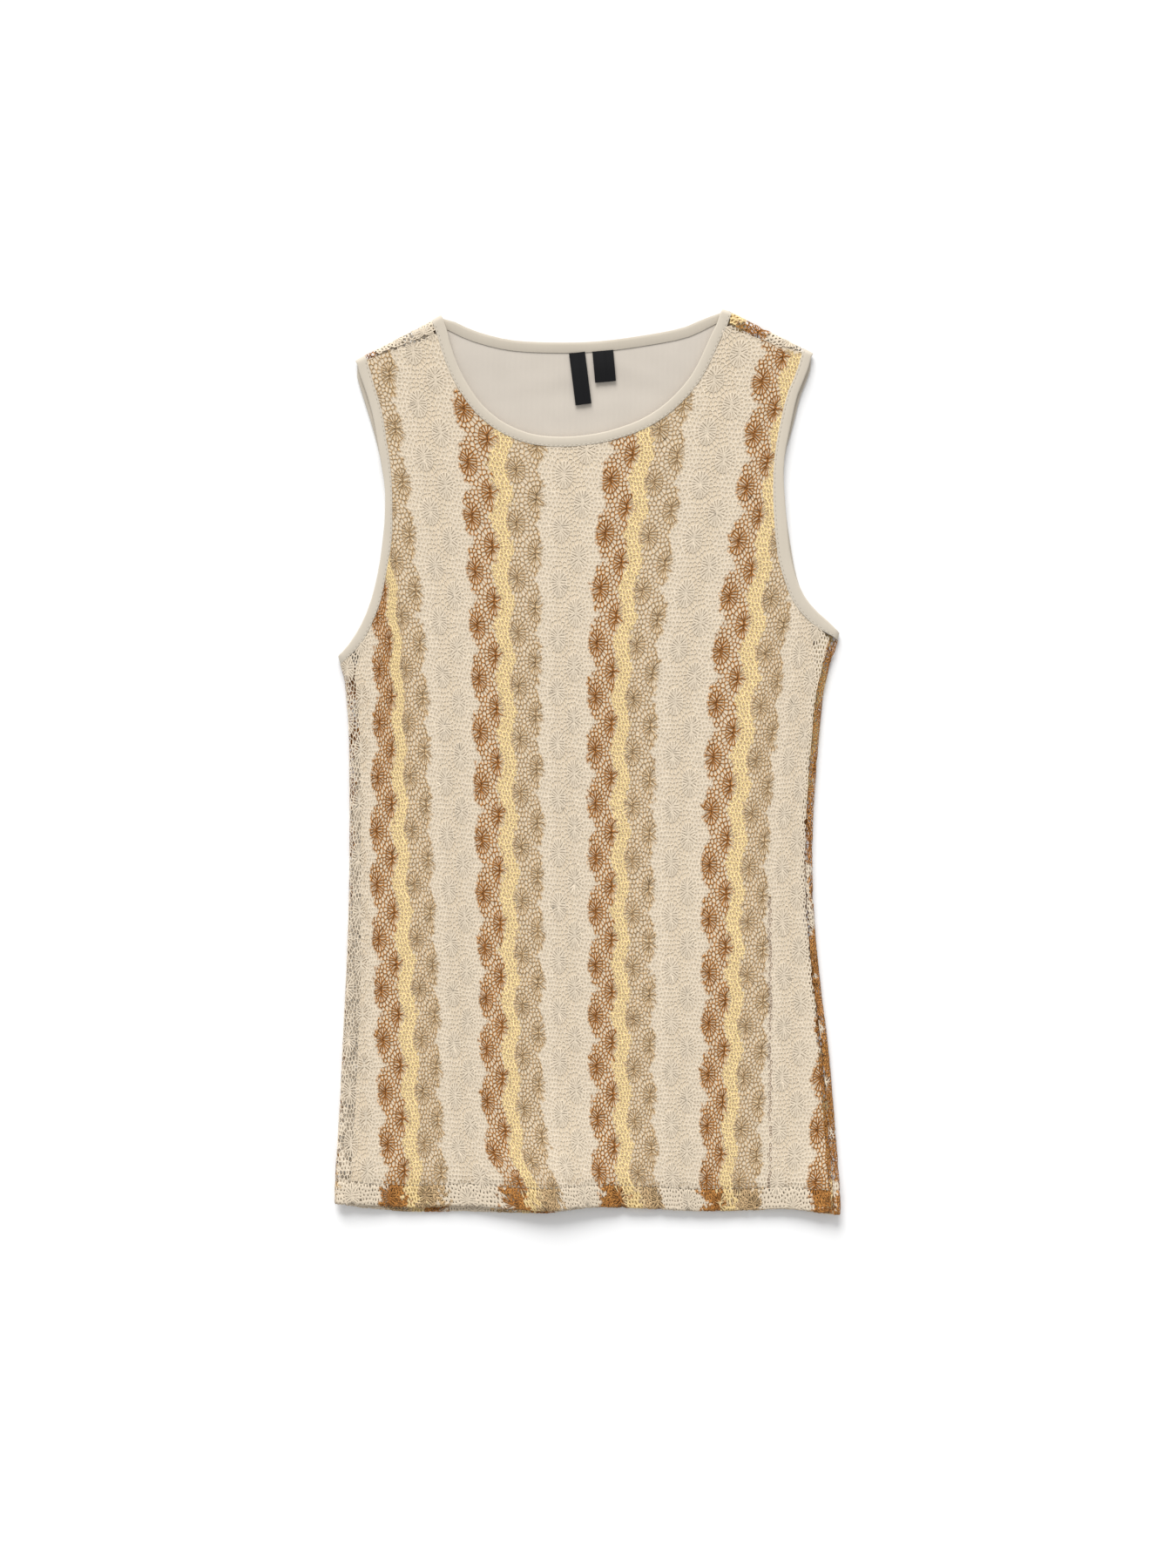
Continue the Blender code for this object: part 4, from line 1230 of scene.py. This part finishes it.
# %% Stitch along the bands and the hem
STITCH = 2.3  # millimetres of thread that show
STITCH_PITCH = 3.2
STITCH_HALF = 0.27
HEM_STITCHES = -158.0, 160.0, 160  # from and to which x, and how many points between
HEM_STITCH_DEPTH = STITCHED_IN - 0.2  # a little out of the line that they pull in

sewing_thread, _, thread_shader = new_material("sewing_thread", 0.8, 0.2)
thread_shader.inputs["Base Color"].default_value = linear("#B3A998")


def stitches(name, line, node):
    """Dashes of thread along a line in space, in one mesh."""
    along = np.concatenate([[0], np.cumsum(np.linalg.norm(np.diff(line, axis=0), axis=1))])
    starts = np.arange(1.0, along[-1] - STITCH, STITCH_PITCH)
    shape = bmesh.new()
    for start in starts:
        first, last = (
            Vector([np.interp(at, along, line[:, k]) for k in range(3)])
            for at in (start, start + STITCH)
        )
        turn = (last - first).to_track_quat("X", "Z").to_matrix().to_4x4()
        size = Matrix.Diagonal((STITCH / 2, STITCH_HALF, STITCH_HALF, 1))
        place = Matrix.Translation((first + last) / 2) @ turn @ size
        bmesh.ops.create_icosphere(shape, subdivisions=1, radius=1.0, matrix=place)
    print(name, "has", len(starts), "stitches")
    add_shape(name, shape, sewing_thread, node)


for name, lines in band_lines.items():
    groove = lines[:, GROOVE]
    stitches(name + "_stitches", np.vstack([groove, groove[:1]]), name)
for face in ("front", "back"):
    x = np.linspace(*HEM_STITCHES)
    y = hem_y(x, face == "front") + HEM_DEPTH
    line = lay(x, y, np.full(len(x), HEM_STITCH_DEPTH), face == "front")
    stitches(face + "_hem_stitches", line, face + "_lace")


# %% [markdown]
# ## Labels
# Two woven satin labels are sewn in at the back of the neck. Satin's long floats give
# them a soft gloss. They are left bare.

# %% Sew in the labels
# the middle, the width and the length of each, and its turn in degrees
LABELS = {
    "main_label": (-5.2, 264.2, 11.0, 36.0, 7.2),
    "care_label": (11.3, 272.6, 14.4, 21.6, 5.2),
}
LABEL_Z, LABEL_THICK = 2.6, 0.5
LABEL_ARCH = 0.5
LABEL_RIPPLE, LABEL_RIPPLES = 0.15, 0.9  # height, and radians in a millimetre of width


def satin_material():
    material, tree, shader = new_material("woven_satin_label", 0.45, 0.0)
    shader.inputs["Base Color"].default_value = linear("#0B0B0D")
    place = add_node(tree, "ShaderNodeTexCoord").outputs["Object"]
    # weft threads 0.2 mm apart are too fine to show, so they are drawn 0.6 mm apart
    across, threads = {"bands_direction": "Y"}, {"Scale": 500.0, "Distortion": 0.3}
    weft = add_node(tree, "ShaderNodeTexWave", across, threads, {"Vector": place})
    relief = {"Strength": 0.3, "Distance": 0.0001}
    bump = add_node(tree, "ShaderNodeBump", (), relief, {"Height": weft.outputs["Fac"]})
    tree.links.new(bump.outputs["Normal"], shader.inputs["Normal"])
    return material


label_satin = satin_material()
for name, (cx, cy, wide, long, turn) in LABELS.items():
    shape = bmesh.new()
    bmesh.ops.create_grid(shape, x_segments=6, y_segments=16, size=0.5)
    for v in shape.verts:
        arch = math.sin(math.pi * (v.co.y + 0.5))
        v.co.x *= wide
        v.co.y *= long
        v.co.z = LABEL_ARCH * arch + LABEL_RIPPLE * math.cos(v.co.x * LABEL_RIPPLES)
    turned = Matrix.Rotation(math.radians(turn), 3, "Z")
    bmesh.ops.rotate(shape, verts=shape.verts[:], cent=(0, 0, 0), matrix=turned)
    bmesh.ops.translate(shape, verts=shape.verts[:], vec=(cx, cy, LABEL_Z + LABEL_THICK))
    bmesh.ops.solidify(shape, geom=shape.faces[:], thickness=LABEL_THICK)
    bmesh.ops.recalc_face_normals(shape, faces=shape.faces[:])
    add_shape(name + "_ribbon", shape, label_satin, name, smooth=False)


# %% [markdown]
# ## Floor, light and camera
# The top lies on a white paper table under a broad, soft light, and the camera looks
# straight down on it.

# %% Set the table, the light and the camera
bpy.ops.mesh.primitive_plane_add(size=6.0, location=(0, 0, -0.0002))
table = bpy.context.object
table.name = "table"
paper = bpy.data.materials.new("white_paper")
paper.use_nodes = True
# uncoated paper is matt and nearly white
paper_shader = paper.node_tree.nodes["Principled BSDF"]
paper_shader.inputs["Base Color"].default_value = linear("#F6F6F6")
paper_shader.inputs["Roughness"].default_value = 0.9
table.data.materials.append(paper)

SKY, SUN, SUN_SPREAD = 0.6, 3.6, 35  # strengths of the two lights, and how soft the sun is
world = bpy.data.worlds.new("soft_studio")
world.use_nodes = True
world.node_tree.nodes["Background"].inputs["Color"].default_value = (1, 1, 1, 1)
world.node_tree.nodes["Background"].inputs["Strength"].default_value = SKY
bpy.context.scene.world = world

lamp = bpy.data.lights.new("key", "SUN")
lamp.angle = math.radians(SUN_SPREAD)
lamp.energy = SUN
key = bpy.data.objects.new("key", lamp)
key.location = (-0.3, 1.7, 1.0)
key.rotation_euler = (-key.location).to_track_quat("-Z", "Y").to_euler()
bpy.context.scene.collection.objects.link(key)

PHOTO_HIGH = 1.080  # metres of table from top to bottom of the picture
CAMERA_HIGH = 2.5
TOP_FACE = 0.005  # the picture is that high at this height
SENSOR = 36.0
AIM = (0.00015, -0.0153)
lens = bpy.data.cameras.new("camera")
lens.sensor_fit = "VERTICAL"
lens.sensor_height = SENSOR
lens.lens = SENSOR * (CAMERA_HIGH - TOP_FACE) / PHOTO_HIGH
camera = bpy.data.objects.new("camera", lens)
camera.location = (*AIM, CAMERA_HIGH)
bpy.context.scene.collection.objects.link(camera)
bpy.context.scene.camera = camera
bpy.context.scene.view_settings.view_transform = "Standard"
